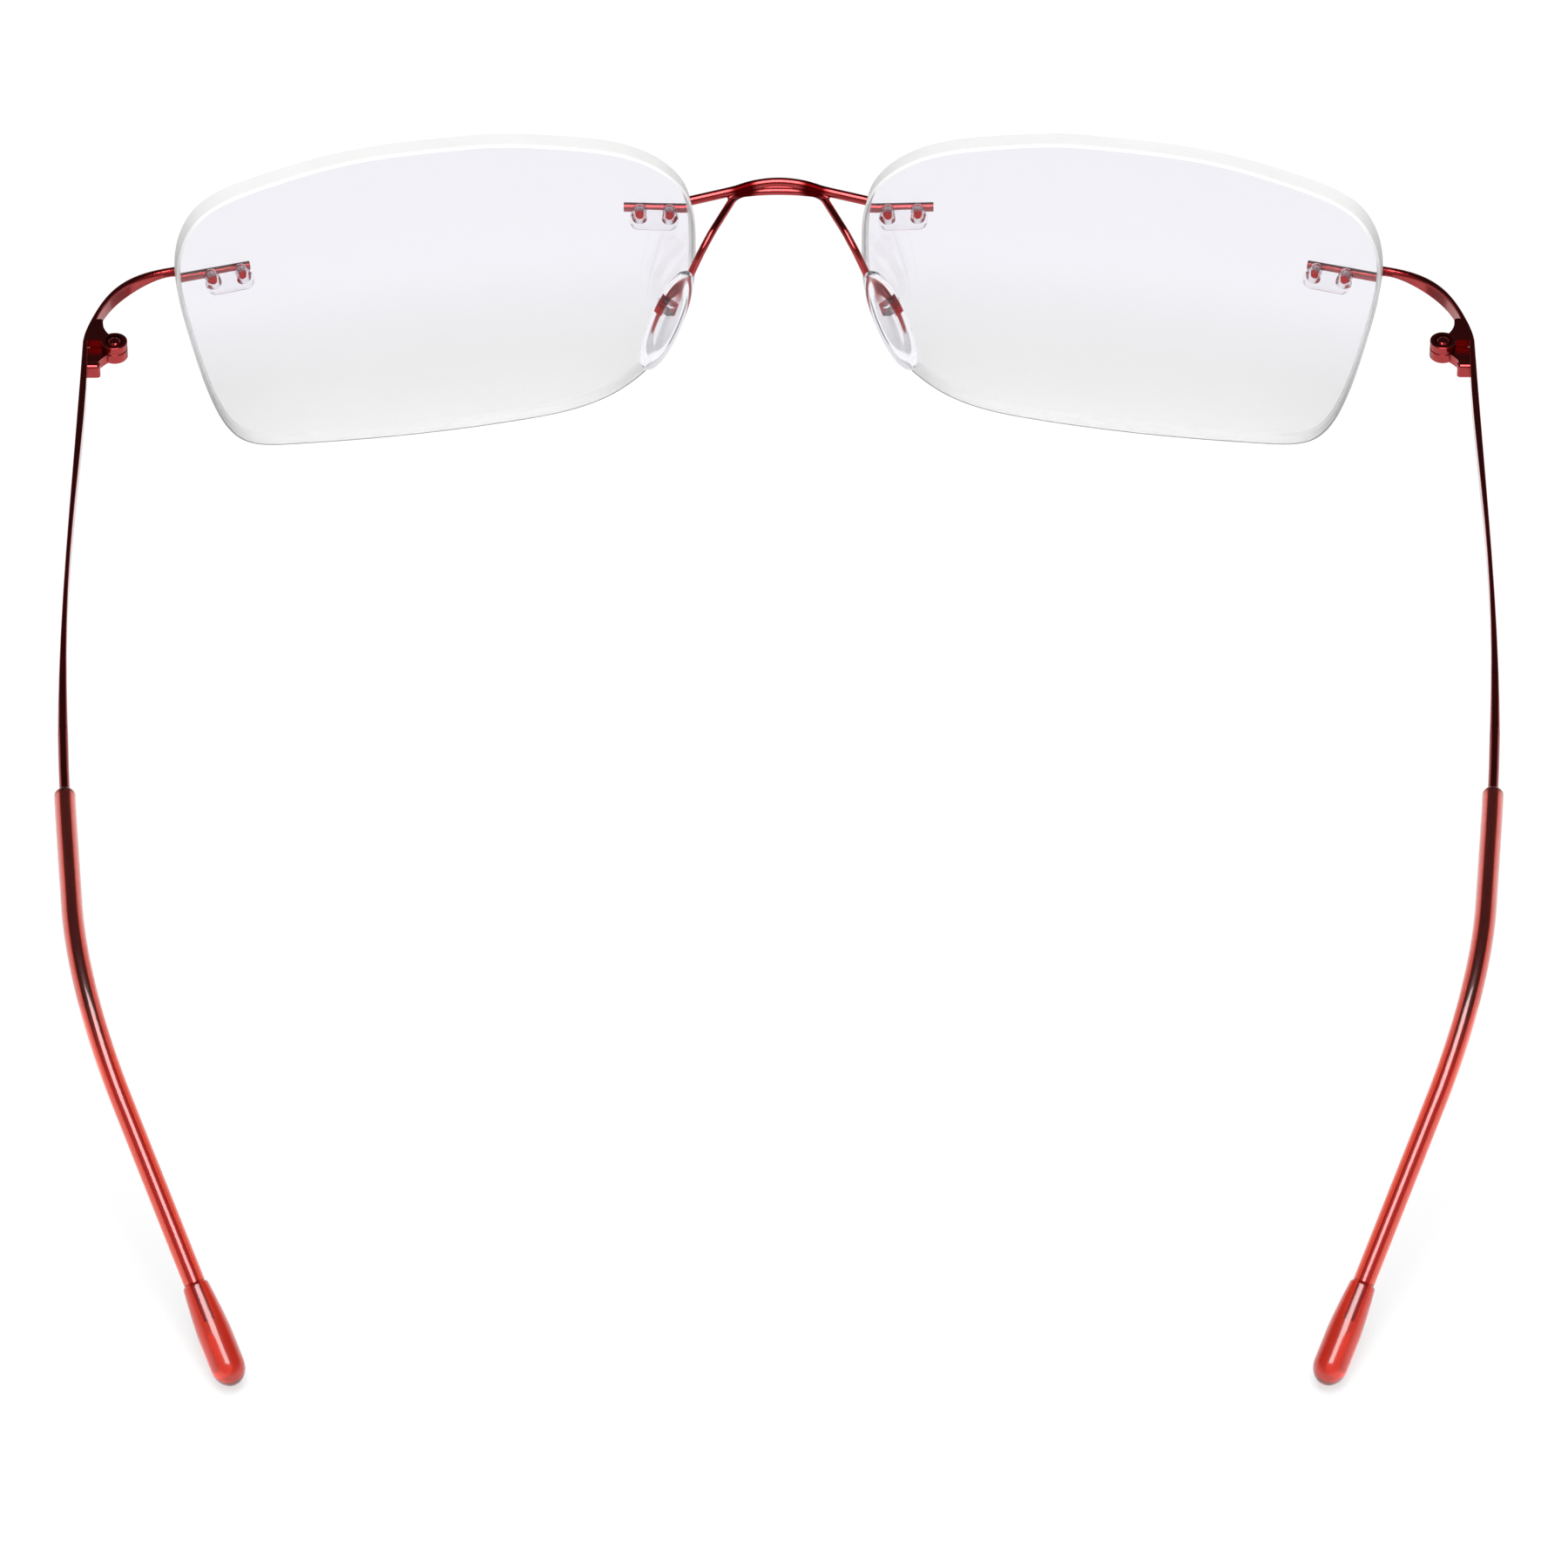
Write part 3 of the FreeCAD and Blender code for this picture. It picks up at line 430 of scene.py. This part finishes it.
def clear_plastic(name, colour, ior, roughness, marks, bent=None, glossy=False):
    """A transparent moulding with a faintly uneven surface, and a soft gloss over it if asked.

    bent is its colour past the ear: painted shade, deeper and more orange than before the bend.
    """
    material, shader = new_material(name)
    tree = material.node_tree
    haze = group_node(
        tree, marks, **PLASTIC_MARKS, Low=roughness, High=roughness + HAZE_ROUGHNESS
    )
    deeper = [part * HAZE_SHADE for part in colour]
    shade = mixed(tree, haze.outputs["Grain"], colour, deeper)
    # Painted shade past the ear bend, where given.
    if bent:
        shade = mixed(tree, past_ear(tree), shade, bent)
    tree.links.new(shade, shader.inputs["Base Color"])
    tree.links.new(haze.outputs["Value"], shader.inputs["Roughness"])
    shader.inputs["Transmission Weight"].default_value = 1.0
    shader.inputs["IOR"].default_value = ior
    if glossy:
        shader.inputs["Coat Weight"].default_value = 1.0
        shader.inputs["Coat IOR"].default_value = GLOSS_IOR
        shader.inputs["Coat Roughness"].default_value = GLOSS_ROUGHNESS
    bumped(tree, haze.outputs["Grain"], shader, PLASTIC_GRAIN)
    return material


def finish(node, material):
    """Gives a CAD node one material."""
    mesh = NODES[node].data
    mesh.materials.clear()
    mesh.materials.append(material)


def both_sides(name):
    """The names of a right and a left node."""
    return [name + "_" + side for side in SIDES]


def new_piece(name, bm, materials, body):
    """A mesh piece that moves with a body, from a bmesh that isn't needed any more."""
    mesh = bpy.data.meshes.new(name)
    bm.to_mesh(mesh)
    bm.free()
    for material in materials:
        mesh.materials.append(material)
    piece = bpy.data.objects.new(name, mesh)
    bpy.context.scene.collection.objects.link(piece)
    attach(piece, body)
    return piece


# ---- settings


class FrontSettings(bpy.types.PropertyGroup):
    """How the red plating looks, and the wire that shows through the sleeves"""

    plating_colour: FloatVectorProperty(
        name="Plating", description="Colour of the red plating", subtype="COLOR",
        size=3, min=0.0, max=1.0, default=(0.34, 0.004, 0.006),
    )
    plating_worn: FloatVectorProperty(
        name="Handled plating", description="Plating where it is often touched", subtype="COLOR",
        size=3, min=0.0, max=1.0, default=(0.4, 0.008, 0.01),
    )
    plating_edge: FloatVectorProperty(
        name="Plating edge", description="Tint of the plating where it turns away",
        subtype="COLOR", size=3, min=0.0, max=1.0, default=(0.45, 0.12, 0.14),
    )
    # Painted shade: the wire inside the sleeve is painted near black.
    painted_dark_core: FloatVectorProperty(
        name="Sleeved wire", description="Colour of the temple wire inside its sleeve",
        subtype="COLOR", size=3, min=0.0, max=1.0, default=(0.025, 0.012, 0.016),
    )
    # Painted light: the sleeved wire past the ear bend is painted bright red.
    painted_lit_core: FloatVectorProperty(
        name="Bent wire", description="Colour of the sleeved wire beyond the ear bend",
        subtype="COLOR", size=3, min=0.0, max=1.0, default=(0.85, 0.12, 0.09),
    )
    plating_roughness: FloatProperty(
        name="Plating roughness", description="Lowest roughness of the plating",
        subtype="FACTOR", min=0.0, max=1.0, default=0.16,
    )


class LensSettings(bpy.types.PropertyGroup):
    """How the lenses and their clear plugs look"""

    lens_colour: FloatVectorProperty(
        name="Lens", description="Cast of the clear lens", subtype="COLOR",
        size=3, min=0.0, max=1.0, default=(0.83, 0.825, 0.87),
    )
    # Painted shade: the lens is painted greyer towards its lower rim.
    lens_shaded_colour: FloatVectorProperty(
        name="Lower lens", description="Cast of the lens towards its lower rim", subtype="COLOR",
        size=3, min=0.0, max=1.0, default=(0.73, 0.73, 0.735),
    )
    edge_colour: FloatVectorProperty(
        name="Ground edge", description="Colour of the ground lens edge", subtype="COLOR",
        size=3, min=0.0, max=1.0, default=(0.97, 0.97, 0.965),
    )
    # Painted shade: the ground edge is painted grey along the lens's foot.
    edge_shaded_colour: FloatVectorProperty(
        name="Lower edge", description="Colour of the ground edge along the lens's foot",
        subtype="COLOR", size=3, min=0.0, max=1.0, default=(0.56, 0.56, 0.56),
    )
    edge_frost: FloatProperty(
        name="Edge frost", description="Roughness of the ground lens edge",
        subtype="FACTOR", min=0.0, max=1.0, default=0.5,
    )
    bore_colour: FloatVectorProperty(
        name="Bonded bore", description="Colour of the lens bores round their plugs",
        subtype="COLOR", size=3, min=0.0, max=1.0, default=(0.74, 0.7, 0.77),
    )
    plug_colour: FloatVectorProperty(
        name="Plug", description="Colour of the clear lens plugs", subtype="COLOR",
        size=3, min=0.0, max=1.0, default=(0.97, 0.96, 0.97),
    )


class PadSettings(bpy.types.PropertyGroup):
    """How large the nose pads are, and how they look"""

    silicone_colour: FloatVectorProperty(
        name="Silicone", description="Colour of the soft clear pads", subtype="COLOR",
        size=3, min=0.0, max=1.0, default=(0.92, 0.91, 0.95),
    )
    pad_length: FloatProperty(
        name="Pad length", description="Length of the soft pad", subtype="DISTANCE",
        unit="LENGTH", default=12.6 * MM,
    )
    pad_width: FloatProperty(
        name="Pad width", description="Width of the soft pad", subtype="DISTANCE",
        unit="LENGTH", default=4.4 * MM,
    )
    pad_thickness: FloatProperty(
        name="Pad thickness", description="Thickness of the soft pad", subtype="DISTANCE",
        unit="LENGTH", default=1.8 * MM,
    )


class TempleSettings(bpy.types.PropertyGroup):
    """How the sleeves and the temple ends look"""

    sleeve_colour: FloatVectorProperty(
        name="Sleeve", description="Colour of the translucent sleeves", subtype="COLOR",
        size=3, min=0.0, max=1.0, default=(0.68, 0.1, 0.075),
    )
    # Painted shade: the sleeve past the ear bend is painted deeper and more orange.
    sleeve_shaded_past_ear: FloatVectorProperty(
        name="Bent sleeve", description="Colour of the sleeves beyond the ear bend",
        subtype="COLOR", size=3, min=0.0, max=1.0, default=(0.75, 0.07, 0.035),
    )
    end_colour: FloatVectorProperty(
        name="Temple end", description="Colour of the translucent temple ends", subtype="COLOR",
        size=3, min=0.0, max=1.0, default=(0.62, 0.03, 0.012),
    )


class StudioSettings(bpy.types.PropertyGroup):
    """Where the camera stands, and how bright the softbox is"""

    camera_distance: FloatProperty(
        name="Camera distance", description="From the camera to the point it looks at",
        subtype="DISTANCE", unit="LENGTH", default=0.973,
    )
    camera_elevation: FloatProperty(
        name="Camera elevation", description="How far the camera looks down",
        subtype="ANGLE", default=math.radians(43.875),
    )
    camera_lens: FloatProperty(
        name="Camera lens", description="Focal length in millimetres", default=227.4, min=1.0,
    )
    softbox_power: FloatProperty(
        name="Softbox power", description="Power of the large overhead softbox",
        unit="POWER", default=69.0, min=0.0,
    )


# ---- operators


class EYEWEAR_OT_front(bpy.types.Operator):
    """Finish the wires, the hinges, the screws and the pad boxes, and braze the pad arms"""

    bl_idname = "eyewear.front"
    bl_label = "Front"

    def execute(self, context):
        settings = context.scene.eyewear_front
        marks = bpy.data.node_groups["Handling marks"]
        # brazed=True also paints the two spots of shade beside the bridge's middle.
        metal = plated_metal("Red plated metal", settings, marks, brazed=True)
        sleeved = plated_metal("Sleeved wire", settings, marks, sleeved=True)
        bare = plated_metal("Bare plating", settings, marks, lacquer=0.0)
        names = ["bridge_wire", "pad_arm_wire"]
        for name in ("endpiece", "hinge_front_leaf", "hinge_temple_leaf", "hinge_screw"):
            names += both_sides(name)
        for name in names:
            finish(name, metal)
        for name in both_sides("temple_wire"):
            finish(name, sleeved)
        for name in both_sides("pad_box") + both_sides("pad_screw"):
            finish(name, bare)
        add_brazing(metal)
        return {"FINISHED"}


def add_brazing(material):
    """The bead that fills the groove between the bridge and the pad arms."""
    half = list(zip(BRAZING_ROUTE, BRAZING_RADII))
    mirrored = [((-x, y, z), radius) for (x, y, z), radius in half[:0:-1]]
    curve = bpy.data.curves.new("bridge_brazing", "CURVE")
    curve.dimensions = "3D"
    curve.bevel_depth = MM
    curve.bevel_resolution = BRAZING_ROUNDNESS
    curve.use_fill_caps = True
    spline = curve.splines.new("NURBS")
    spline.points.add(len(mirrored) + len(half) - 1)
    for point, (place, radius) in zip(spline.points, mirrored + half):
        point.co = (*(Vector(place) * MM), 1.0)
        point.radius = radius
    spline.order_u = 3
    spline.use_endpoint_u = True
    line = bpy.data.objects.new("bridge_brazing_line", curve)
    bm = bmesh.new()
    bm.from_mesh(line.to_mesh())
    bpy.data.objects.remove(line)
    bmesh.ops.remove_doubles(bm, verts=bm.verts, dist=WELD)
    bmesh.ops.recalc_face_normals(bm, faces=bm.faces)
    for face in bm.faces:
        face.smooth = True
    bead = new_piece("bridge_brazing", bm, (material,), "front")


class EYEWEAR_OT_lenses(bpy.types.Operator):
    """Build both lenses with polished faces and a ground edge, and finish their clear plugs"""

    bl_idname = "eyewear.lenses"
    bl_label = "Lenses"

    def execute(self, context):
        settings = context.scene.eyewear_lens
        marks = bpy.data.node_groups["Handling marks"]
        resin = lens_resin(settings, marks)
        edge = ground_edge(settings, marks)
        bore = clear_plastic("Bonded bore", settings.bore_colour, BORE_IOR, 0.0, marks)
        for side in SIDES:
            add_lens(side, (resin, edge, bore))
        clear = clear_plastic(
            "Clear plug", settings.plug_colour, PLUG_IOR, PLUG_ROUGHNESS, marks
        )
        for name in both_sides("lens_plug_nasal") + both_sides("lens_plug_temporal"):
            finish(name, clear)
            NODES[name].visible_shadow = False
        return {"FINISHED"}


def add_lens(side, finishes):
    """A lens from the CAD solid, with three finishes: polished faces, ground edge and bores."""
    node = "lens_" + side
    bm = bmesh.new()
    bm.from_mesh(NODES[node].data)
    bmesh.ops.remove_doubles(bm, verts=bm.verts, dist=LENS_WELD)
    bm.normal_update()
    surfaces = islands(bm.faces, LENS_CREASE)
    polished = surfaces[0] | surfaces[1]
    ground = islands(set(bm.faces) - polished, math.pi)[0]
    for face in bm.faces:
        face.smooth = True
        face.material_index = 0 if face in polished else 1 if face in ground else 2
    for edge in bm.edges:
        kinds = {face.material_index for face in edge.link_faces}
        edge.smooth = len(kinds) == 1 and edge.calc_face_angle() < LENS_SHARP
    lens = new_piece("resin_lens_" + side, bm, finishes, "front")
    lens.visible_shadow = False
    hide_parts(node)


def islands(faces, crease):
    """Groups of faces joined over edges that bend by less than a crease, largest first."""
    left = set(faces)
    groups = []
    while left:
        group = set()
        waiting = [left.pop()]
        while waiting:
            face = waiting.pop()
            group.add(face)
            for edge in face.edges:
                if len(edge.link_faces) != 2 or edge.calc_face_angle() > crease:
                    continue
                for near in edge.link_faces:
                    if near in left:
                        left.remove(near)
                        waiting.append(near)
        groups.append(group)
    return sorted(groups, key=lambda group: -sum(face.calc_area() for face in group))


class EYEWEAR_OT_pads(bpy.types.Operator):
    """Build the two crowned silicone nose pads"""

    bl_idname = "eyewear.pads"
    bl_label = "Nose pads"

    def execute(self, context):
        settings = context.scene.eyewear_pad
        marks = bpy.data.node_groups["Handling marks"]
        soft = clear_plastic(
            "Silicone", settings.silicone_colour, SILICONE_IOR, SILICONE_ROUGHNESS, marks
        )
        for side in SIDES:
            add_pad(side, settings, soft)
        return {"FINISHED"}


def pad_axes():
    """The right pad's own axes: x down its length, y along its screw, z away from the nose."""
    joint = [found for found in frame["joints"] if found["name"] == "nose_pad_right_rock"][0]
    across = Vector(joint["axis"]).normalized()
    down = (PAD_DOWN - across * PAD_DOWN.dot(across)).normalized()
    away = down.cross(across)
    centre = Vector(joint["pos_m"]) + down * PAD_PIVOT_RISE - away * PAD_PIVOT_DEPTH
    axes = Matrix((down, across, away)).transposed().to_4x4()
    axes.translation = centre
    return axes


def add_pad(side, settings, soft):
    """A crowned oval cushion with a dished back, and the lug that the box holds."""
    bm = bmesh.new()
    bmesh.ops.create_uvsphere(
        bm, u_segments=PAD_SEGMENTS, v_segments=PAD_RINGS, radius=1.0
    )
    for vert in bm.verts:
        vert.co = pad_point(vert.co, settings)
    lug = bmesh.ops.create_cone(
        bm, cap_ends=True, segments=PAD_LUG_SEGMENTS, depth=PAD_LUG_THICKNESS,
        radius1=PAD_LUG_RADIUS, radius2=PAD_LUG_RADIUS,
        matrix=Matrix.Rotation(math.radians(90.0), 4, "X"),
    )["verts"]
    # The lug's lower half is drawn down into a flat foot, just off the floor of the dish.
    floor = PAD_DISH_FLOOR + PAD_LUG_GAP
    for vert in lug:
        vert.co += Vector((-PAD_PIVOT_RISE, 0.0, PAD_PIVOT_DEPTH))
        if vert.co.z < PAD_PIVOT_DEPTH - PAD_LUG_FOOT * PAD_LUG_RADIUS:
            vert.co.z = floor
    bmesh.ops.transform(bm, matrix=pad_axes(), verts=bm.verts)
    if side == "left":
        bmesh.ops.scale(bm, vec=(-1.0, 1.0, 1.0), verts=bm.verts)
    bmesh.ops.remove_doubles(bm, verts=bm.verts, dist=WELD)
    bmesh.ops.recalc_face_normals(bm, faces=bm.faces)
    for face in bm.faces:
        face.smooth = True
    pad = new_piece("silicone_pad_" + side, bm, (soft,), "nose_pad_" + side)
    pad.data.set_sharp_from_angle(angle=PAD_SHARP)
    pad.visible_shadow = False
    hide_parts("nose_pad_" + side, "pad_core_" + side)


def pad_point(unit, settings):
    """A point of the unit sphere moved to the pad's surface, in the pad's own axes."""
    turn = math.atan2(unit.y, unit.x)
    reach = math.hypot(unit.x, unit.y)
    squareness = PAD_BACK_SQUARENESS if unit.z > 0 else PAD_FACE_SQUARENESS
    spread = reach ** (2 / squareness)
    rise = math.copysign(abs(unit.z) ** (2 / squareness), unit.z)
    x = math.copysign(abs(math.cos(turn)) ** (2 / PAD_OVAL), math.cos(turn))
    y = math.copysign(abs(math.sin(turn)) ** (2 / PAD_OVAL), math.sin(turn))
    point = Vector((
        x * spread * settings.pad_length / 2,
        y * spread * settings.pad_width / 2,
        rise * settings.pad_thickness / 2,
    ))
    if unit.z > 0:
        across = abs(2 * point.x / PAD_DISH_LENGTH) ** PAD_OVAL
        across += abs(2 * point.y / PAD_DISH_WIDTH) ** PAD_OVAL
        slope = (1 + PAD_DISH_SLOPE - across ** (1 / PAD_OVAL)) / (2 * PAD_DISH_SLOPE)
        slope = min(max(slope, 0.0), 1.0)
        depth = slope * slope * (3 - 2 * slope)
        point.z += min(PAD_DISH_FLOOR - point.z, 0.0) * depth
    return point


class EYEWEAR_OT_temples(bpy.types.Operator):
    """Finish the sleeves and the temple ends"""

    bl_idname = "eyewear.temples"
    bl_label = "Temples"

    def execute(self, context):
        settings = context.scene.eyewear_temple
        marks = bpy.data.node_groups["Handling marks"]
        tube = clear_plastic(
            "Red sleeve", settings.sleeve_colour, MOULDING_IOR, MOULDING_ROUGHNESS, marks,
            bent=settings.sleeve_shaded_past_ear, glossy=True,
        )
        tip = clear_plastic(
            "Red temple end", settings.end_colour, MOULDING_IOR, MOULDING_ROUGHNESS, marks,
            glossy=True,
        )
        for name in both_sides("temple_sleeve"):
            finish(name, tube)
        for name in both_sides("temple_end"):
            finish(name, tip)
        return {"FINISHED"}


class EYEWEAR_OT_studio(bpy.types.Operator):
    """Set up the pale floor, the softbox, the surroundings and the camera"""

    bl_idname = "eyewear.studio"
    bl_label = "Studio"

    def execute(self, context):
        settings = context.scene.eyewear_studio
        add_floor()
        add_surroundings(context.scene)
        add_softbox(settings)
        add_camera(context.scene, settings)
        context.scene.view_settings.view_transform = "Standard"
        return {"FINISHED"}


def clear_sight(tree, names):
    """1 for what the camera sees straight or by way of some kinds of ray, else 0.

    Whatever is reached after a diffuse bounce counts as unseen.
    """
    path = tree.nodes.new("ShaderNodeLightPath")
    seen = path.outputs["Is Camera Ray"]
    for name in names:
        seen = combined(tree, "MAXIMUM", seen, path.outputs[name])
    direct = combined(tree, "LESS_THAN", path.outputs["Diffuse Depth"], NO_BOUNCE)
    return combined(tree, "MULTIPLY", seen, direct)


def add_floor():
    """A matt floor that looks white and still takes the object's shadow."""
    bm = bmesh.new()
    bmesh.ops.create_grid(bm, x_segments=1, y_segments=1, size=FLOOR_REACH)
    mesh = bpy.data.meshes.new("floor")
    bm.to_mesh(mesh)
    bm.free()
    floor = bpy.data.objects.new("floor", mesh)
    bpy.context.scene.collection.objects.link(floor)
    material, shader = new_material("White floor")
    tree = material.node_tree
    shader.inputs["Base Color"].default_value = (FLOOR_SHADE, FLOOR_SHADE, FLOOR_SHADE, 1.0)
    shader.inputs["Roughness"].default_value = 1.0
    shader.inputs["Specular IOR Level"].default_value = 0.0
    shader.inputs["Emission Color"].default_value = (1.0, 1.0, 1.0, 1.0)
    seen = clear_sight(tree, ("Is Glossy Ray", "Is Transmission Ray"))
    glow = combined(tree, "MULTIPLY", seen, FLOOR_GLOW)
    tree.links.new(glow, shader.inputs["Emission Strength"])
    mesh.materials.append(material)


def add_surroundings(scene):
    """White seen straight or through glass; in gloss a pale horizon under a dark ceiling."""
    world = bpy.data.worlds.new("Studio")
    world.use_nodes = True
    scene.world = world
    tree = world.node_tree
    tree.nodes.clear()
    output = tree.nodes.new("ShaderNodeOutputWorld")
    background = tree.nodes.new("ShaderNodeBackground")
    tree.links.new(background.outputs[0], output.inputs["Surface"])
    way = tree.nodes.new("ShaderNodeSeparateXYZ")
    tree.links.new(tree.nodes.new("ShaderNodeTexCoord").outputs["Generated"], way.inputs[0])
    upper = ramp(
        tree, way.outputs["Y"], CEILING_START, CEILING_END, CEILING_NEAR, CEILING_FAR
    )
    band = ramp(tree, way.outputs["Z"], HORIZON_FULL, HORIZON_GONE, 1.0, 0.0)
    room = blended(tree, band, upper, HORIZON_GLOW)
    strength = blended(tree, clear_sight(tree, ("Is Transmission Ray",)), room, 1.0)
    tree.links.new(strength, background.inputs["Strength"])


def aimed(place, target):
    """The matrix of something at a place whose -Z looks at a target."""
    turn = (target - place).to_track_quat("-Z", "Y").to_matrix().to_4x4()
    return Matrix.Translation(place) @ turn


def add_softbox(settings):
    """One large softbox overhead, leaning towards the wearer's side."""
    light = bpy.data.lights.new("Softbox", "AREA")
    light.shape = "RECTANGLE"
    light.size = SOFTBOX_WIDTH
    light.size_y = SOFTBOX_LENGTH
    light.energy = settings.softbox_power
    lamp = bpy.data.objects.new("softbox", light)
    bpy.context.scene.collection.objects.link(lamp)
    upward = Vector((0.0, -math.sin(SOFTBOX_LEAN), math.cos(SOFTBOX_LEAN)))
    place = upward * SOFTBOX_DISTANCE
    lamp.matrix_world = aimed(place, Vector((0.0, 0.0, 0.0)))


def add_camera(scene, settings):
    """Behind and above the wearer's side, looking down at the open glasses."""
    data = bpy.data.cameras.new("Camera")
    data.lens = settings.camera_lens
    data.clip_start = CAMERA_NEAR
    data.clip_end = CAMERA_FAR
    camera = bpy.data.objects.new("camera", data)
    scene.collection.objects.link(camera)
    back = math.cos(settings.camera_elevation) * settings.camera_distance
    up = math.sin(settings.camera_elevation) * settings.camera_distance
    place = Vector((0.0, CAMERA_TARGET.y - back, up))
    camera.matrix_world = aimed(place, CAMERA_TARGET)
    scene.camera = camera


class EYEWEAR_PT_sidebar(bpy.types.Panel):
    """Every setting, with the operator that builds its pieces"""

    bl_idname = "EYEWEAR_PT_sidebar"
    bl_label = "Eyeglasses"
    bl_space_type = "VIEW_3D"
    bl_region_type = "UI"
    bl_category = "Eyeglasses"

    def draw(self, context):
        groups = (
            (context.scene.eyewear_front, EYEWEAR_OT_front),
            (context.scene.eyewear_lens, EYEWEAR_OT_lenses),
            (context.scene.eyewear_pad, EYEWEAR_OT_pads),
            (context.scene.eyewear_temple, EYEWEAR_OT_temples),
            (context.scene.eyewear_studio, EYEWEAR_OT_studio),
        )
        for settings, operator in groups:
            box = self.layout.box()
            for name in type(settings).__annotations__:
                box.prop(settings, name)
            box.operator(operator.bl_idname)


SETTINGS = {
    "eyewear_front": FrontSettings,
    "eyewear_lens": LensSettings,
    "eyewear_pad": PadSettings,
    "eyewear_temple": TempleSettings,
    "eyewear_studio": StudioSettings,
}
OPERATORS = (
    EYEWEAR_OT_front, EYEWEAR_OT_lenses, EYEWEAR_OT_pads, EYEWEAR_OT_temples, EYEWEAR_OT_studio,
)


def register():
    """Adds the settings, the operators and the sidebar to Blender."""
    for name, group in SETTINGS.items():
        bpy.utils.register_class(group)
        setattr(bpy.types.Scene, name, PointerProperty(type=group))
    for operator in OPERATORS:
        bpy.utils.register_class(operator)
    bpy.utils.register_class(EYEWEAR_PT_sidebar)


def unregister():
    """Takes them out again, last one first."""
    bpy.utils.unregister_class(EYEWEAR_PT_sidebar)
    for operator in reversed(OPERATORS):
        bpy.utils.unregister_class(operator)
    for name, group in reversed(SETTINGS.items()):
        delattr(bpy.types.Scene, name)
        bpy.utils.unregister_class(group)


def main():
    """Builds every piece and the studio."""
    register()
    handling_marks()
    bpy.ops.eyewear.front()
    bpy.ops.eyewear.lenses()
    bpy.ops.eyewear.pads()
    bpy.ops.eyewear.temples()
    bpy.ops.eyewear.studio()


if __name__ == "__main__":
    main()
